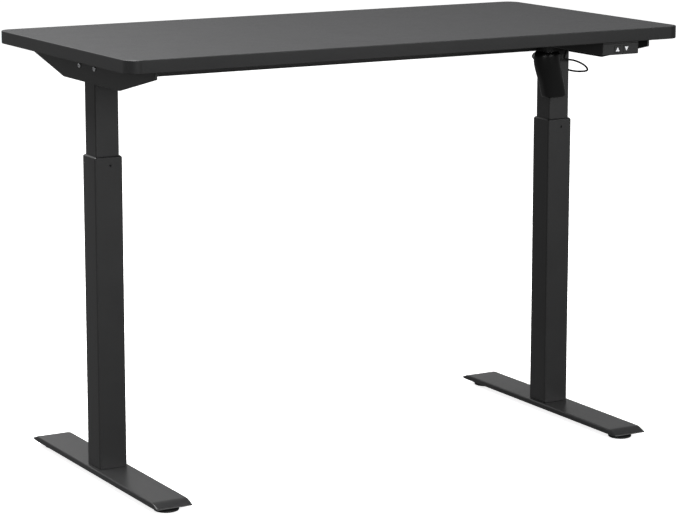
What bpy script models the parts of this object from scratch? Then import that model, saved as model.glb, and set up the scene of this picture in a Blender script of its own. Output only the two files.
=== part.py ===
"""Height-adjustable standing desk: one motor lifts two telescopic columns through a hexagonal shaft.

Units are metres and +Z is up. The origin is on the floor, under the centre of the desktop, and the user
sits on the -Y side. The desk stands at its rest height. Everything above the outer tubes rises and sinks
with the lift; the spindles turn in nuts that stand on the feet.
"""

import math

import bmesh
import bpy
from mathutils import Matrix, Vector

# ---------------------------------------------------------------- clearances
FIT_GAP = 0.0003
SLIDE_GAP = 0.0003
RUN_GAP = 0.0003
# How far a cutter runs past the face it opens, and how far a joined shape runs into its neighbour.
OVERCUT = 0.005
OVERLAP = 0.001
# Keeps two faces off one plane, and gives a turned shoulder some height.
COPLANAR_STEP = 0.0002
SHOULDER = 0.00001

# ---------------------------------------------------------------- desktop
DESK_WIDTH = 1.2192
DESK_DEPTH = 0.6096
DESK_TOP = 0.850
BOARD_THICKNESS = 0.025
BOARD_CORNER_RADIUS = 0.028
BOARD_EDGE_ROUND = 0.0012
BOARD_BOTTOM = DESK_TOP - BOARD_THICKNESS
UNDER_BOARD = BOARD_BOTTOM - FIT_GAP

# ---------------------------------------------------------------- columns
COLUMN_INSET = 0.0906
COLUMN_X = DESK_WIDTH / 2 - COLUMN_INSET
COLUMN_Y = 0.0129
OUTER_SIZE = 0.058
OUTER_WALL = 0.0016
OUTER_CORNER = 0.004
OUTER_LENGTH = 0.6075
LINER = 0.0029
INNER_SIZE = OUTER_SIZE - 2 * (OUTER_WALL + LINER)
INNER_WALL = 0.0015
INNER_CORNER = 0.003
INNER_BOTTOM = 0.192
BASE_PLATE = 0.008
COLLAR_HEIGHT = 0.040
COLLAR_RIM = 0.0032
COLLAR_EDGE = 0.0008
GLIDE_HEIGHT = 0.040
COLLAR_SCREW_RADIUS = 0.0021
COLLAR_SCREW_DROP = 0.014
COLLAR_SCREW_OFFSET = 0.003
COLLAR_SCREW_LENGTH = 0.0032
COLLAR_SCREW_EDGE = 0.0004
GLIDE_LIP = 0.002

# ---------------------------------------------------------------- feet
FOOT_MARGIN = 0.008
FOOT_WIDTH = OUTER_SIZE + 2 * FOOT_MARGIN
FOOT_FLAT_HALF = 0.2704
FOOT_SLOPE_RUN = 0.0195
FOOT_SLOPE_DROP = 0.0072
FOOT_TOP = 0.0222
FOOT_FLANGE_BOTTOM = 0.0114
FOOT_SHEET = 0.0022
FOOT_CENTRE_Y = 0.0058
FOOT_CORNER = 0.002
FOOT_EDGE = 0.001
FOOT_INNER_FLAT_SHARE = 0.3
LEVELLER_INSET = 0.0169
LEVELLER_SPAN = FOOT_FLAT_HALF - LEVELLER_INSET
PAD_RADIUS = 0.024
PAD_THICKNESS = 0.0065
PAD_EDGE = 0.001
# The pad's rounded top edge and the cone up to its stud: rise above the floor as a drop from or a rise over
# the pad's thickness, and radius.
PAD_SHOULDERS = ((-0.0020, 0.0240), (-0.0004, 0.0215), (0.0000, 0.0180), (0.0030, 0.0080))
PAD_CONE = 0.0035
STUD_RADIUS = 0.004
STUD_COVER = 0.0022
BORE_COVER = 0.0018
BOSS_RADIUS = 0.0085
BOSS_BOTTOM = 0.0125
FOOT_BOLT_SPAN = 0.0185
FOOT_BOLT_RADIUS = 0.004
FOOT_BOLT_HEAD_RADIUS = 0.0072
FOOT_BOLT_HEAD = 0.005
FOOT_BOLT_EDGE = 0.0008

# ---------------------------------------------------------------- side brackets
BRACKET_CLEARANCE = 0.0016
BRACKET_SHEET = 0.0025
BRACKET_FLANGE = 0.018
BRACKET_LIP = 0.005
BRACKET_EDGE = 0.0006
BRACKET_NOTCH_GAP = 0.0015
BRACKET_END_INSET = 0.0228
BRACKET_HALF_LENGTH = DESK_DEPTH / 2 - BRACKET_END_INSET
BRACKET_FLAT_HALF = 0.1255
BRACKET_DROP = 0.052
BRACKET_END_HEIGHT = 0.0147
BRACKET_BOLT_RADIUS = 0.003
BRACKET_BOLT_HEAD_RADIUS = 0.0050
BRACKET_BOLT_HEAD = 0.0026
# The bolt's domed head: distance from its crown and share of the head's radius.
BRACKET_BOLT_DOME = ((0.0, 0.55), (0.0006, 0.85), (0.0014, 1.0))
BRACKET_BOLT_LENGTH = 0.014
BOARD_SCREW_Y = 0.200
BOARD_SCREW_RADIUS = 0.0022
BOARD_SCREW_HEAD_RADIUS = 0.0048
BOARD_SCREW_HEAD = 0.003
BOARD_SCREW_BITE = 0.018
BOARD_SCREW_POINT = 0.002
BRACKET_INNER_X = COLUMN_X + INNER_SIZE / 2 + BRACKET_CLEARANCE
BRACKET_OUTER_X = BRACKET_INNER_X + BRACKET_SHEET
FRAME_X = BRACKET_INNER_X - FIT_GAP

# ---------------------------------------------------------------- rails and drive line
RAIL_DROP = 0.044
RAIL_BOTTOM = BOARD_BOTTOM - RAIL_DROP
RAIL_WIDTH = 0.018
RAIL_WALL = 0.002
RAIL_CORNER = 0.002
RAIL_END_BLOCK = 0.016
RAIL_CASE_GAP = 0.0005
RAIL_SPACING = INNER_SIZE + RAIL_WIDTH + 2 * RAIL_CASE_GAP
BRACKET_BOLT_SPAN = RAIL_SPACING / 2
RAIL_SLOT_COUNT = 6
RAIL_SLOT_LENGTH = 0.040
RAIL_SLOT_HEIGHT = 0.012
RAIL_TOP = UNDER_BOARD - BRACKET_SHEET - FIT_GAP
SHAFT_DROP = 0.022
SHAFT_Z = BOARD_BOTTOM - SHAFT_DROP
SHAFT_ACROSS_FLATS = 0.010
SHAFT_END_SHARE = 0.6
SHAFT_EDGE = 0.0008
SPINDLE_EDGE = 0.001
SPINDLE_RADIUS = 0.008
SPINDLE_NECK_RADIUS = 0.005
SPINDLE_BOTTOM = 0.200
NUT_DEPTH = 0.070
NUT_BOTTOM = FOOT_TOP + OUTER_LENGTH - NUT_DEPTH
NUT_HEIGHT = 0.030
NUT_ACROSS = 0.034
NUT_TUBE_RADIUS = 0.014
NUT_TUBE_WALL = 0.004

# ---------------------------------------------------------------- gears
GEAR_MODULE = 0.002
BEVEL_TEETH = 12
BEVEL_FACE = 0.5
SPUR_TEETH = 16
PINION_TEETH = 10
SPUR_THICKNESS = 0.0045
TOOTH_HEIGHT_OUT = 0.8
TOOTH_HEIGHT_IN = 1.2
TOOTH_SHARE_TIP = 0.22
TOOTH_SHARE_ROOT = 0.56
BEVEL_HUB_RADIUS = 0.009
SHAFT_HUB_LENGTH = 0.006
IDLER_PIN_RADIUS = 0.004

# ---------------------------------------------------------------- gear cases
CASE_WALL = 0.0025
CASE_LID = 0.0025
CASE_SHOULDER = 0.0055
CASE_INNER_X = COLUMN_X - INNER_SIZE / 2 - CASE_SHOULDER
CASE_CORNER = 0.003
SPIGOT_HEIGHT = 0.0126
IDLER_PIN_RISE = 0.0005
CASE_BOTTOM = RAIL_BOTTOM
INNER_TOP = CASE_BOTTOM - FIT_GAP
CASE_TOP = RAIL_TOP - CASE_LID - FIT_GAP

# ---------------------------------------------------------------- motor
MOTOR_OFFSET_X = 0.050
MOTOR_CLEARANCE = 0.0249
MOTOR_X = COLUMN_X - MOTOR_OFFSET_X
MOTOR_Y = COLUMN_Y - OUTER_SIZE / 2 - MOTOR_CLEARANCE
MOTOR_NECK_RADIUS = 0.018
MOTOR_END_GAP = 0.001
RAIL_CUT_X = MOTOR_X - MOTOR_NECK_RADIUS - MOTOR_END_GAP
MOTOR_CAN_RADIUS = 0.0160
MOTOR_CAN_HEIGHT = 0.042
MOTOR_CAN_WALL = 0.0015
MOTOR_CAN_EDGE = 0.002
ARMATURE_LIFT = 0.006
MOTOR_SHAFT_RADIUS = 0.003
ARMATURE_RADIUS = 0.011
ARMATURE_HEIGHT = 0.026
COVER_WALL = 0.002
COVER_FLOOR_INSET = 0.003
# Each row of the motor cover, from the bottom up: drop below the gear case, centre X and Y from the motor's
# axis, half width, half depth, and squareness of the ellipse.
COVER_SECTIONS = (
    (0.0970, 0.0194, 0.0060, 0.0226, 0.0140, 3.2),
    (0.0940, 0.0188, 0.0058, 0.0252, 0.0166, 3.2),
    (0.0830, 0.0160, 0.0045, 0.0260, 0.0178, 3.0),
    (0.0670, 0.0110, 0.0028, 0.0264, 0.0194, 2.7),
    (0.0490, 0.0053, 0.0012, 0.0269, 0.0208, 2.4),
    (0.0290, 0.0001, 0.0002, 0.0277, 0.0220, 2.2),
    (0.0130, -0.0018, 0.0000, 0.0278, 0.0226, 2.0),
    (0.0060, -0.0016, 0.0000, 0.0264, 0.0222, 2.0),
    (0.0020, -0.0010, 0.0000, 0.0234, 0.0210, 2.0),
    (0.0005, -0.0006, 0.0000, 0.0208, 0.0196, 2.0),
)

# ---------------------------------------------------------------- controller
CONTROLLER_INSET = 0.1016
CONTROLLER_WIDTH = 0.0875
CONTROLLER_LENGTH = 0.190
CONTROLLER_HEIGHT = 0.0253
CONTROLLER_SETBACK = 0.0048
CONTROLLER_RIGHT = DESK_WIDTH / 2 - CONTROLLER_INSET
CONTROLLER_LEFT = CONTROLLER_RIGHT - CONTROLLER_WIDTH
CONTROLLER_FRONT = -DESK_DEPTH / 2 + CONTROLLER_SETBACK
CONTROLLER_BACK = CONTROLLER_FRONT + CONTROLLER_LENGTH
CONTROLLER_BOTTOM = BOARD_BOTTOM - CONTROLLER_HEIGHT
CONTROLLER_WALL = 0.002
CONTROLLER_LID = 0.0025
CONTROLLER_CORNER = 0.0025
CONTROLLER_EDGE = 0.0004
CONTROLLER_TOP = UNDER_BOARD - CONTROLLER_LID - FIT_GAP
BUTTON_OFFSETS = {"raise_button": 0.0355, "lower_button": 0.0571}
BUTTON_RISE = 0.0113
BUTTON_Z = CONTROLLER_BOTTOM + BUTTON_RISE
BUTTON_WIDTH = 0.016
BUTTON_HEIGHT = 0.014
BUTTON_PROUD = 0.0008
BUTTON_TRAVEL = 0.0015
BUTTON_DEPTH = 0.005
BUTTON_LIP = 0.0012
BUTTON_CORNER = 0.002
BOARD_GAP = 0.004
BOARD_SHEET = 0.0016
CIRCUIT_LENGTH = 0.150
CIRCUIT_MARGIN = 0.003
# The parts on the circuit board: low and high X from its left edge, low and high Y from its front, height.
CIRCUIT_PARTS = (
    (0.008, 0.028, 0.030, 0.048, 0.010),
    (0.034, 0.066, 0.060, 0.096, 0.013),
    (0.0605, 0.0725, 0.120, 0.140, 0.008),
)
INLET_OFFSET = 0.0255
INLET_X = CONTROLLER_LEFT + INLET_OFFSET
INLET_WIDTH = 0.026
INLET_HEIGHT = 0.0165
INLET_DEPTH = 0.022
INLET_FLANGE = 0.0015
INLET_FLANGE_MARGIN = 0.0012
INLET_WALL = 0.003
INLET_FLOOR = 0.004
INLET_PIN_RADIUS = 0.0012
INLET_PIN_OFFSET = 0.0045
INLET_PIN_SETBACK = 0.003
RELIEF_OFFSET = 0.0725
RELIEF_RISE = 0.0113
RELIEF_X = CONTROLLER_LEFT + RELIEF_OFFSET
RELIEF_Z = CONTROLLER_BOTTOM + RELIEF_RISE
RELIEF_LENGTH = 0.014
RELIEF_RADIUS = 0.0042
RELIEF_TIP_RADIUS = 0.0028
RELIEF_NECK_RADIUS = 0.003
RELIEF_INSIDE = 0.0015
RELIEF_COLLAR = 0.003

# ---------------------------------------------------------------- motor cable
CABLE_RADIUS = 0.0020
CABLE_STEPS = 2
CABLE_END_GAP = 0.0004
CABLE_ROUTE = (
    (0.4930, -0.0953, 0.8110),
    (0.4932, -0.0900, 0.8109),
    (0.4955, -0.0800, 0.8080),
    (0.5005, -0.0680, 0.7970),
    (0.5050, -0.0560, 0.7815),
    (0.5100, -0.0420, 0.7690),
    (0.5190, -0.0290, 0.7620),
    (0.5335, -0.0220, 0.7577),
    (0.5480, -0.0208, 0.7550),
    (0.5626, -0.0190, 0.7502),
    (0.5759, -0.0170, 0.7440),
    (0.5860, -0.0142, 0.7372),
    (0.5918, -0.0090, 0.7305),
    (0.5900, -0.0010, 0.7275),
    (0.5830, 0.0110, 0.7262),
    (0.5770, 0.0240, 0.7265),
    (0.5700, 0.0370, 0.7285),
    (0.5580, 0.0480, 0.7320),
    (0.5420, 0.0545, 0.7370),
    (0.5240, 0.0560, 0.7430),
    (0.5060, 0.0530, 0.7500),
    (0.4917, 0.0474, 0.7575),
    (0.4849, 0.0362, 0.7650),
    (0.4844, 0.0255, 0.7710),
    (0.4842, 0.0206, 0.7758),
    (0.4842, 0.0203, 0.7785),
    (0.4842, 0.0203, CASE_BOTTOM - CABLE_END_GAP),
)

SIDES = {"left": -1, "right": 1}
ENDS = {"front": -1, "rear": 1}
ROUND_STEPS = 24
SMALL_ROUND_STEPS = 16
SMOOTH_ANGLE = math.radians(35)
LEAST_CORNER = 0.0006


# ================================================================ scene and materials
def clear_scene():
    for item in list(bpy.data.objects):
        bpy.data.objects.remove(item, do_unlink=True)


def principled(name, colour, roughness, metallic):
    material = bpy.data.materials.new(name)
    material.use_nodes = True
    shader = material.node_tree.nodes["Principled BSDF"]
    shader.inputs["Base Color"].default_value = (*colour, 1.0)
    shader.inputs["Roughness"].default_value = roughness
    shader.inputs["Metallic"].default_value = metallic
    material.diffuse_color = (*colour, 1.0)
    return material


def make_materials():
    return {
        "laminate": principled("laminate", (0.105, 0.105, 0.108), 0.55, 0.0),
        "powder_coat": principled("powder_coat", (0.040, 0.040, 0.042), 0.5, 0.0),
        "black_plastic": principled("black_plastic", (0.020, 0.020, 0.021), 0.4, 0.0),
        "grey_plastic": principled("grey_plastic", (0.30, 0.30, 0.31), 0.5, 0.0),
        "zinc": principled("zinc", (0.55, 0.55, 0.56), 0.3, 1.0),
        "steel": principled("steel", (0.40, 0.40, 0.41), 0.3, 1.0),
        "rubber": principled("rubber", (0.015, 0.015, 0.015), 0.8, 0.0),
        "cable_jacket": principled("cable_jacket", (0.018, 0.018, 0.018), 0.5, 0.0),
        "circuit": principled("circuit", (0.02, 0.10, 0.04), 0.5, 0.0),
    }


# ================================================================ mesh helpers
def finish_object(name, mesh_data, material, pivot, smooth=True):
    """Makes the object from a bmesh in world coordinates, with its origin on its pivot."""
    bmesh.ops.recalc_face_normals(mesh_data, faces=mesh_data.faces)
    bmesh.ops.translate(mesh_data, verts=mesh_data.verts, vec=-pivot.location)
    mesh = bpy.data.meshes.new(name)
    mesh_data.to_mesh(mesh)
    mesh_data.free()
    if smooth:
        mesh.shade_smooth()
        mesh.set_sharp_from_angle(angle=SMOOTH_ANGLE)
    made = bpy.data.objects.new(name, mesh)
    bpy.context.scene.collection.objects.link(made)
    made.parent = pivot
    if material is not None:
        mesh.materials.append(material)
    return made


def make_pivot(name, location):
    pivot = bpy.data.objects.new(name, None)
    pivot.empty_display_size = 0.05
    pivot.location = location
    bpy.context.scene.collection.objects.link(pivot)
    return pivot


def boolean(target, tool_data, operation):
    """Cuts from the target, or joins to it, the shape of a bmesh in world coordinates."""
    tool = finish_object(f"{target.name}_tool_{len(target.modifiers)}", tool_data, None, target.parent, False)
    tool.hide_render = True
    tool.display_type = "WIRE"
    modifier = target.modifiers.new(f"{operation.lower()}_{len(target.modifiers)}", "BOOLEAN")
    modifier.operation = operation
    modifier.object = tool
    modifier.solver = "EXACT"


def cut(target, tool_data):
    boolean(target, tool_data, "DIFFERENCE")


def join(target, tool_data):
    boolean(target, tool_data, "UNION")


def arc_points(centre_x, centre_y, radius, start, end, steps):
    points = []
    for step in range(steps + 1):
        angle = math.radians(start + (end - start) * step / steps)
        points.append((centre_x + radius * math.cos(angle), centre_y + radius * math.sin(angle)))
    return points


def rounded_rectangle(low_x, low_y, high_x, high_y, radius, steps=3):
    return (
        arc_points(high_x - radius, high_y - radius, radius, 0, 90, steps)
        + arc_points(low_x + radius, high_y - radius, radius, 90, 180, steps)
        + arc_points(low_x + radius, low_y + radius, radius, 180, 270, steps)
        + arc_points(high_x - radius, low_y + radius, radius, 270, 360, steps)
    )


def circle(centre_x, centre_y, radius, steps=ROUND_STEPS):
    return arc_points(centre_x, centre_y, radius, 0, 360 - 360 / steps, steps - 1)


def hexagon(centre_x, centre_y, across):
    """A hexagon measured across its flats, with its flats facing the second axis."""
    return circle(centre_x, centre_y, across / 2 / math.cos(math.pi / 6), 6)


def convex_hull(points):
    """The outline around the points, anticlockwise."""
    ordered = sorted(set(points))

    def half(sequence):
        kept = []
        for point in sequence:
            while len(kept) > 1 and turn(kept[-2], kept[-1], point) <= 1e-12:
                kept.pop()
            kept.append(point)
        return kept[:-1]

    return half(ordered) + half(ordered[::-1])


def turn(first, middle, last):
    return (middle[0] - first[0]) * (last[1] - first[1]) - (middle[1] - first[1]) * (last[0] - first[0])


def inset_outline(points, distance):
    """Moves each side of an anticlockwise outline inwards."""
    inset = []
    for index, here in enumerate(points):
        before = Vector(points[index - 1])
        after = Vector(points[(index + 1) % len(points)])
        corner = Vector(here)
        first = (corner - before).normalized()
        second = (after - corner).normalized()
        first_normal = Vector((-first.y, first.x))
        second_normal = Vector((-second.y, second.x))
        bisector = (first_normal + second_normal).normalized()
        moved = corner + bisector * distance / bisector.dot(first_normal)
        inset.append((moved.x, moved.y))
    return inset


def on_axis(axis, across, along):
    """A point from two coordinates across an axis and one along it, in X, Y, Z order across."""
    first, second = across
    if axis == "x":
        return (along, first, second)
    if axis == "y":
        return (first, along, second)
    return (first, second, along)


def loft(rings, data=None):
    """A closed body through rings of equally many points."""
    data = data or bmesh.new()
    loops = [[data.verts.new(point) for point in ring] for ring in rings]
    count = len(loops[0])
    for lower, upper in zip(loops, loops[1:]):
        for index in range(count):
            after = (index + 1) % count
            data.faces.new((lower[index], lower[after], upper[after], upper[index]))
    data.faces.new(loops[0][::-1])
    data.faces.new(loops[-1])
    return data


def prism(outline, axis, low, high, data=None):
    return loft([[on_axis(axis, point, level) for point in outline] for level in (low, high)], data)


def box(low, high, data=None):
    outline = ((low[0], low[1]), (high[0], low[1]), (high[0], high[1]), (low[0], high[1]))
    return prism(outline, "z", low[2], high[2], data)


def bevelled_prism(outline, axis, low, high, bevel, data=None):
    """A prism whose two end faces have a small chamfer."""
    inner = inset_outline(outline, bevel)
    levels = ((inner, low), (outline, low + bevel), (outline, high - bevel), (inner, high))
    return loft([[on_axis(axis, point, level) for point in ring] for ring, level in levels], data)


def wall(rings):
    """A wall through rings of equally many points, from the last ring back to the first."""
    data = bmesh.new()
    loops = [[data.verts.new(point) for point in ring] for ring in rings]
    count = len(loops[0])
    for lower, upper in zip(loops, loops[1:] + loops[:1]):
        for index in range(count):
            after = (index + 1) % count
            data.faces.new((lower[index], lower[after], upper[after], upper[index]))
    return data


def sleeve(outer, inner, axis, low, high):
    """A tube between two outlines of equally many points, open at both ends."""
    levels = ((outer, low), (outer, high), (inner, high), (inner, low))
    return wall([[on_axis(axis, point, level) for point in outline] for outline, level in levels])


def turned(profile, origin, direction, steps=SMALL_ROUND_STEPS):
    """A body of revolution, whose profile lists (distance along the direction, radius)."""
    data = bmesh.new()
    turned_z = Vector((0, 0, 1)).rotation_difference(Vector(direction))
    frame = Matrix.Translation(origin) @ turned_z.to_matrix().to_4x4()
    loops = []
    for along, radius in profile:
        ring = circle(0, 0, radius, steps)
        loops.append([data.verts.new(frame @ Vector((*point, along))) for point in ring])
    for lower, upper in zip(loops, loops[1:]):
        for index in range(steps):
            after = (index + 1) % steps
            data.faces.new((lower[index], lower[after], upper[after], upper[index]))
    data.faces.new(loops[0][::-1])
    data.faces.new(loops[-1])
    return data


def drill(target, origin, direction, radius, length, steps=SMALL_ROUND_STEPS):
    cut(target, turned(((0, radius), (length, radius)), origin, direction, steps))


# ================================================================ feet
def foot_profile(inset):
    """The foot's side outline in Y and Z, or its inner one where inset is the sheet's thickness."""
    flat = FOOT_FLAT_HALF - inset * FOOT_INNER_FLAT_SHARE
    tip = FOOT_FLAT_HALF + FOOT_SLOPE_RUN - inset
    top = FOOT_TOP - inset
    low = FOOT_FLANGE_BOTTOM - (OVERCUT if inset else 0)
    shoulder = FOOT_TOP - FOOT_SLOPE_DROP - inset
    outline = ((-tip, low), (tip, low), (tip, shoulder), (flat, top), (-flat, top), (-tip, shoulder))
    return [(FOOT_CENTRE_Y + y, z) for y, z in outline]


def foot_plan(sign, grow):
    half = FOOT_WIDTH / 2 + grow
    tip = FOOT_FLAT_HALF + FOOT_SLOPE_RUN + grow
    centre_x = sign * COLUMN_X
    return rounded_rectangle(
        centre_x - half, FOOT_CENTRE_Y - tip, centre_x + half, FOOT_CENTRE_Y + tip, FOOT_CORNER
    )


def make_foot(side, sign, material, base):
    """A channel pressing with sloping ends, and a boss under its top for each leveller."""
    centre_x = sign * COLUMN_X
    half = FOOT_WIDTH / 2
    shell = bevelled_prism(foot_profile(0), "x", centre_x - half, centre_x + half, FOOT_EDGE)
    foot = finish_object(f"foot_{side}", shell, material, base)
    inner_half = half - FOOT_SHEET
    cut(foot, prism(foot_profile(FOOT_SHEET), "x", centre_x - inner_half, centre_x + inner_half))
    cut(foot, sleeve(foot_plan(sign, OVERCUT), foot_plan(sign, 0), "z", 0, FOOT_TOP + OVERCUT))
    for end_sign in ENDS.values():
        leveller_y = FOOT_CENTRE_Y + end_sign * LEVELLER_SPAN
        boss_height = FOOT_TOP - FOOT_SHEET - BOSS_BOTTOM + OVERLAP
        boss = ((0, BOSS_RADIUS), (boss_height, BOSS_RADIUS))
        join(foot, turned(boss, (centre_x, leveller_y, BOSS_BOTTOM), (0, 0, 1)))
        bore_low = BOSS_BOTTOM - OVERCUT
        bore_height = FOOT_TOP - BORE_COVER - bore_low
        drill(foot, (centre_x, leveller_y, bore_low), (0, 0, 1), STUD_RADIUS + RUN_GAP, bore_height)
        bolt = (centre_x, COLUMN_Y + end_sign * FOOT_BOLT_SPAN, FOOT_TOP - FOOT_SHEET - OVERCUT)
        drill(foot, bolt, (0, 0, 1), FOOT_BOLT_RADIUS + FIT_GAP, FOOT_SHEET + 2 * OVERCUT)


def make_foot_bolt(side, sign, end, end_sign, material, base):
    head_bottom = FOOT_TOP - FOOT_SHEET - FIT_GAP - FOOT_BOLT_HEAD
    length = FOOT_BOLT_HEAD + 2 * FIT_GAP + FOOT_SHEET + BASE_PLATE - OVERLAP
    profile = (
        (0, FOOT_BOLT_HEAD_RADIUS - FOOT_BOLT_EDGE),
        (FOOT_BOLT_EDGE, FOOT_BOLT_HEAD_RADIUS),
        (FOOT_BOLT_HEAD, FOOT_BOLT_HEAD_RADIUS),
        (FOOT_BOLT_HEAD + SHOULDER, FOOT_BOLT_RADIUS),
        (length, FOOT_BOLT_RADIUS),
    )
    origin = (sign * COLUMN_X, COLUMN_Y + end_sign * FOOT_BOLT_SPAN, head_bottom)
    finish_object(f"foot_bolt_{side}_{end}", turned(profile, origin, (0, 0, 1), 12), material, base)


def make_leveller(side, sign, end, end_sign, material):
    origin = Vector((sign * COLUMN_X, FOOT_CENTRE_Y + end_sign * LEVELLER_SPAN, 0))
    pivot = make_pivot(f"leveller_{side}_{end}_axis", origin)
    profile = (
        (0, PAD_RADIUS - PAD_EDGE),
        (PAD_EDGE, PAD_RADIUS),
        *((PAD_THICKNESS + rise, radius) for rise, radius in PAD_SHOULDERS),
        (PAD_THICKNESS + PAD_CONE, STUD_RADIUS),
        (FOOT_TOP - STUD_COVER, STUD_RADIUS),
    )
    finish_object(f"leveller_{side}_{end}", turned(profile, origin, (0, 0, 1), ROUND_STEPS), material, pivot)


# ================================================================ columns
def square(sign, half, corner):
    """A column's square outline, half a side from its axis."""
    centre_x = sign * COLUMN_X
    return rounded_rectangle(centre_x - half, COLUMN_Y - half, centre_x + half, COLUMN_Y + half, corner)


def square_ring(sign, outer_half, inner_half, corner, low, high):
    inner_corner = max(corner - (outer_half - inner_half), LEAST_CORNER)
    return sleeve(square(sign, outer_half, corner), square(sign, inner_half, inner_corner), "z", low, high)


def make_outer_tube(side, sign, material, base):
    bottom = FOOT_TOP + FIT_GAP
    top = bottom + OUTER_LENGTH
    half = OUTER_SIZE / 2
    data = square_ring(sign, half, half - OUTER_WALL, OUTER_CORNER, bottom, top)
    tube = finish_object(f"outer_tube_{side}", data, material, base)
    centre_x = sign * COLUMN_X
    plate_half = half - OUTER_WALL / 2
    plate = box(
        (centre_x - plate_half, COLUMN_Y - plate_half, bottom),
        (centre_x + plate_half, COLUMN_Y + plate_half, bottom + BASE_PLATE),
    )
    join(tube, plate)
    for end_sign in ENDS.values():
        bolt_y = COLUMN_Y + end_sign * FOOT_BOLT_SPAN
        bolt = (centre_x, bolt_y, bottom - OVERCUT)
        drill(tube, bolt, (0, 0, 1), FOOT_BOLT_RADIUS + FIT_GAP, BASE_PLATE + 2 * OVERCUT)
    screw_origin = (centre_x + COLLAR_SCREW_OFFSET, COLUMN_Y - half - OVERLAP, top - COLLAR_SCREW_DROP)
    drill(tube, screw_origin, (0, 1, 0), COLLAR_SCREW_RADIUS + FIT_GAP, OUTER_WALL + 2 * OVERLAP, 12)
    return top


def make_collar(side, sign, tube_top, material, base):
    """The guide in the tube's mouth, with a shoulder that slopes up to the inner tube."""
    centre_x = sign * COLUMN_X
    low = tube_top - COLLAR_HEIGHT
    seat = tube_top + FIT_GAP
    body = square(sign, OUTER_SIZE / 2 - OUTER_WALL - FIT_GAP, OUTER_CORNER / 2)
    rim = square(sign, OUTER_SIZE / 2 - COLLAR_EDGE / 2, OUTER_CORNER)
    bore_half = INNER_SIZE / 2 + SLIDE_GAP
    bore = square(sign, bore_half, INNER_CORNER)
    lip = square(sign, bore_half + COLLAR_EDGE, INNER_CORNER + COLLAR_EDGE)
    levels = (
        (body, low),
        (body, seat),
        (rim, seat),
        (rim, seat + COLLAR_EDGE),
        (lip, seat + COLLAR_RIM),
        (bore, seat + COLLAR_RIM),
        (bore, low),
    )
    data = wall([[on_axis("z", point, level) for point in outline] for outline, level in levels])
    collar = finish_object(f"top_collar_{side}", data, material, base)
    screw_y = COLUMN_Y - OUTER_SIZE / 2
    origin = (centre_x + COLLAR_SCREW_OFFSET, screw_y, tube_top - COLLAR_SCREW_DROP)
    drill(collar, origin, (0, 1, 0), COLLAR_SCREW_RADIUS + FIT_GAP, COLLAR_SCREW_LENGTH + FIT_GAP, 12)


def make_collar_screw(side, sign, tube_top, material, base):
    face = COLUMN_Y - OUTER_SIZE / 2 - FIT_GAP
    origin = (sign * COLUMN_X + COLLAR_SCREW_OFFSET, face, tube_top - COLLAR_SCREW_DROP)
    profile = (
        (0, COLLAR_SCREW_RADIUS - COLLAR_SCREW_EDGE),
        (COLLAR_SCREW_EDGE, COLLAR_SCREW_RADIUS),
        (COLLAR_SCREW_LENGTH, COLLAR_SCREW_RADIUS),
    )
    finish_object(f"collar_screw_{side}", turned(profile, origin, (0, 1, 0), 12), material, base)


def make_inner_tube(side, sign, material, lift):
    half = INNER_SIZE / 2
    data = square_ring(sign, half, half - INNER_WALL, INNER_CORNER, INNER_BOTTOM, INNER_TOP)
    finish_object(f"inner_tube_{side}", data, material, lift)


def make_glide(side, sign, material, lift):
    """The plastic shoe around the foot of the inner tube, with a lip under the tube's end."""
    outer_half = OUTER_SIZE / 2 - OUTER_WALL - SLIDE_GAP
    bore_half = INNER_SIZE / 2 + FIT_GAP
    low = INNER_BOTTOM - FIT_GAP - GLIDE_LIP
    data = square_ring(sign, outer_half, bore_half, OUTER_CORNER / 2, low, INNER_BOTTOM + GLIDE_HEIGHT)
    glide = finish_object(f"lower_glide_{side}", data, material, lift)
    lip_half = bore_half - INNER_WALL
    join(glide, square_ring(sign, bore_half + OVERLAP, lip_half, INNER_CORNER, low, INNER_BOTTOM - FIT_GAP))


def make_nut(side, sign, nut_material, tube_material, base):
    centre_x = sign * COLUMN_X
    plate_top = FOOT_TOP + FIT_GAP + BASE_PLATE
    inner_radius = NUT_TUBE_RADIUS - NUT_TUBE_WALL
    tube = sleeve(
        circle(centre_x, COLUMN_Y, NUT_TUBE_RADIUS, SMALL_ROUND_STEPS),
        circle(centre_x, COLUMN_Y, inner_radius, SMALL_ROUND_STEPS),
        "z",
        plate_top + FIT_GAP,
        NUT_BOTTOM,
    )
    finish_object(f"nut_tube_{side}", tube, tube_material, base)
    nut = sleeve(
        circle(centre_x, COLUMN_Y, NUT_ACROSS / 2, SMALL_ROUND_STEPS),
        circle(centre_x, COLUMN_Y, SPINDLE_RADIUS + RUN_GAP, SMALL_ROUND_STEPS),
        "z",
        NUT_BOTTOM + FIT_GAP,
        NUT_BOTTOM + NUT_HEIGHT,
    )
    finish_object(f"spindle_nut_{side}", nut, nut_material, base)


# ================================================================ gears
def gear_outline(teeth, phase):
    """A toothed outline round the origin, with straight flanks and a tooth centred on the phase angle."""
    pitch_radius = GEAR_MODULE * teeth / 2
    tip = pitch_radius + GEAR_MODULE * TOOTH_HEIGHT_OUT
    root = pitch_radius - GEAR_MODULE * TOOTH_HEIGHT_IN
    pitch = 2 * math.pi / teeth
    outline = []
    for tooth in range(teeth):
        middle = phase + tooth * pitch
        for radius, share in (
            (root, -TOOTH_SHARE_ROOT / 2),
            (tip, -TOOTH_SHARE_TIP / 2),
            (tip, TOOTH_SHARE_TIP / 2),
            (root, TOOTH_SHARE_ROOT / 2),
        ):
            angle = middle + share * pitch
            outline.append((radius * math.cos(angle), radius * math.sin(angle)))
    return outline


def spur_gear(teeth, phase, centre, low, high):
    data = prism(gear_outline(teeth, phase), "z", low, high)
    bmesh.ops.translate(data, verts=data.verts, vec=(centre[0], centre[1], 0))
    return data


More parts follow.
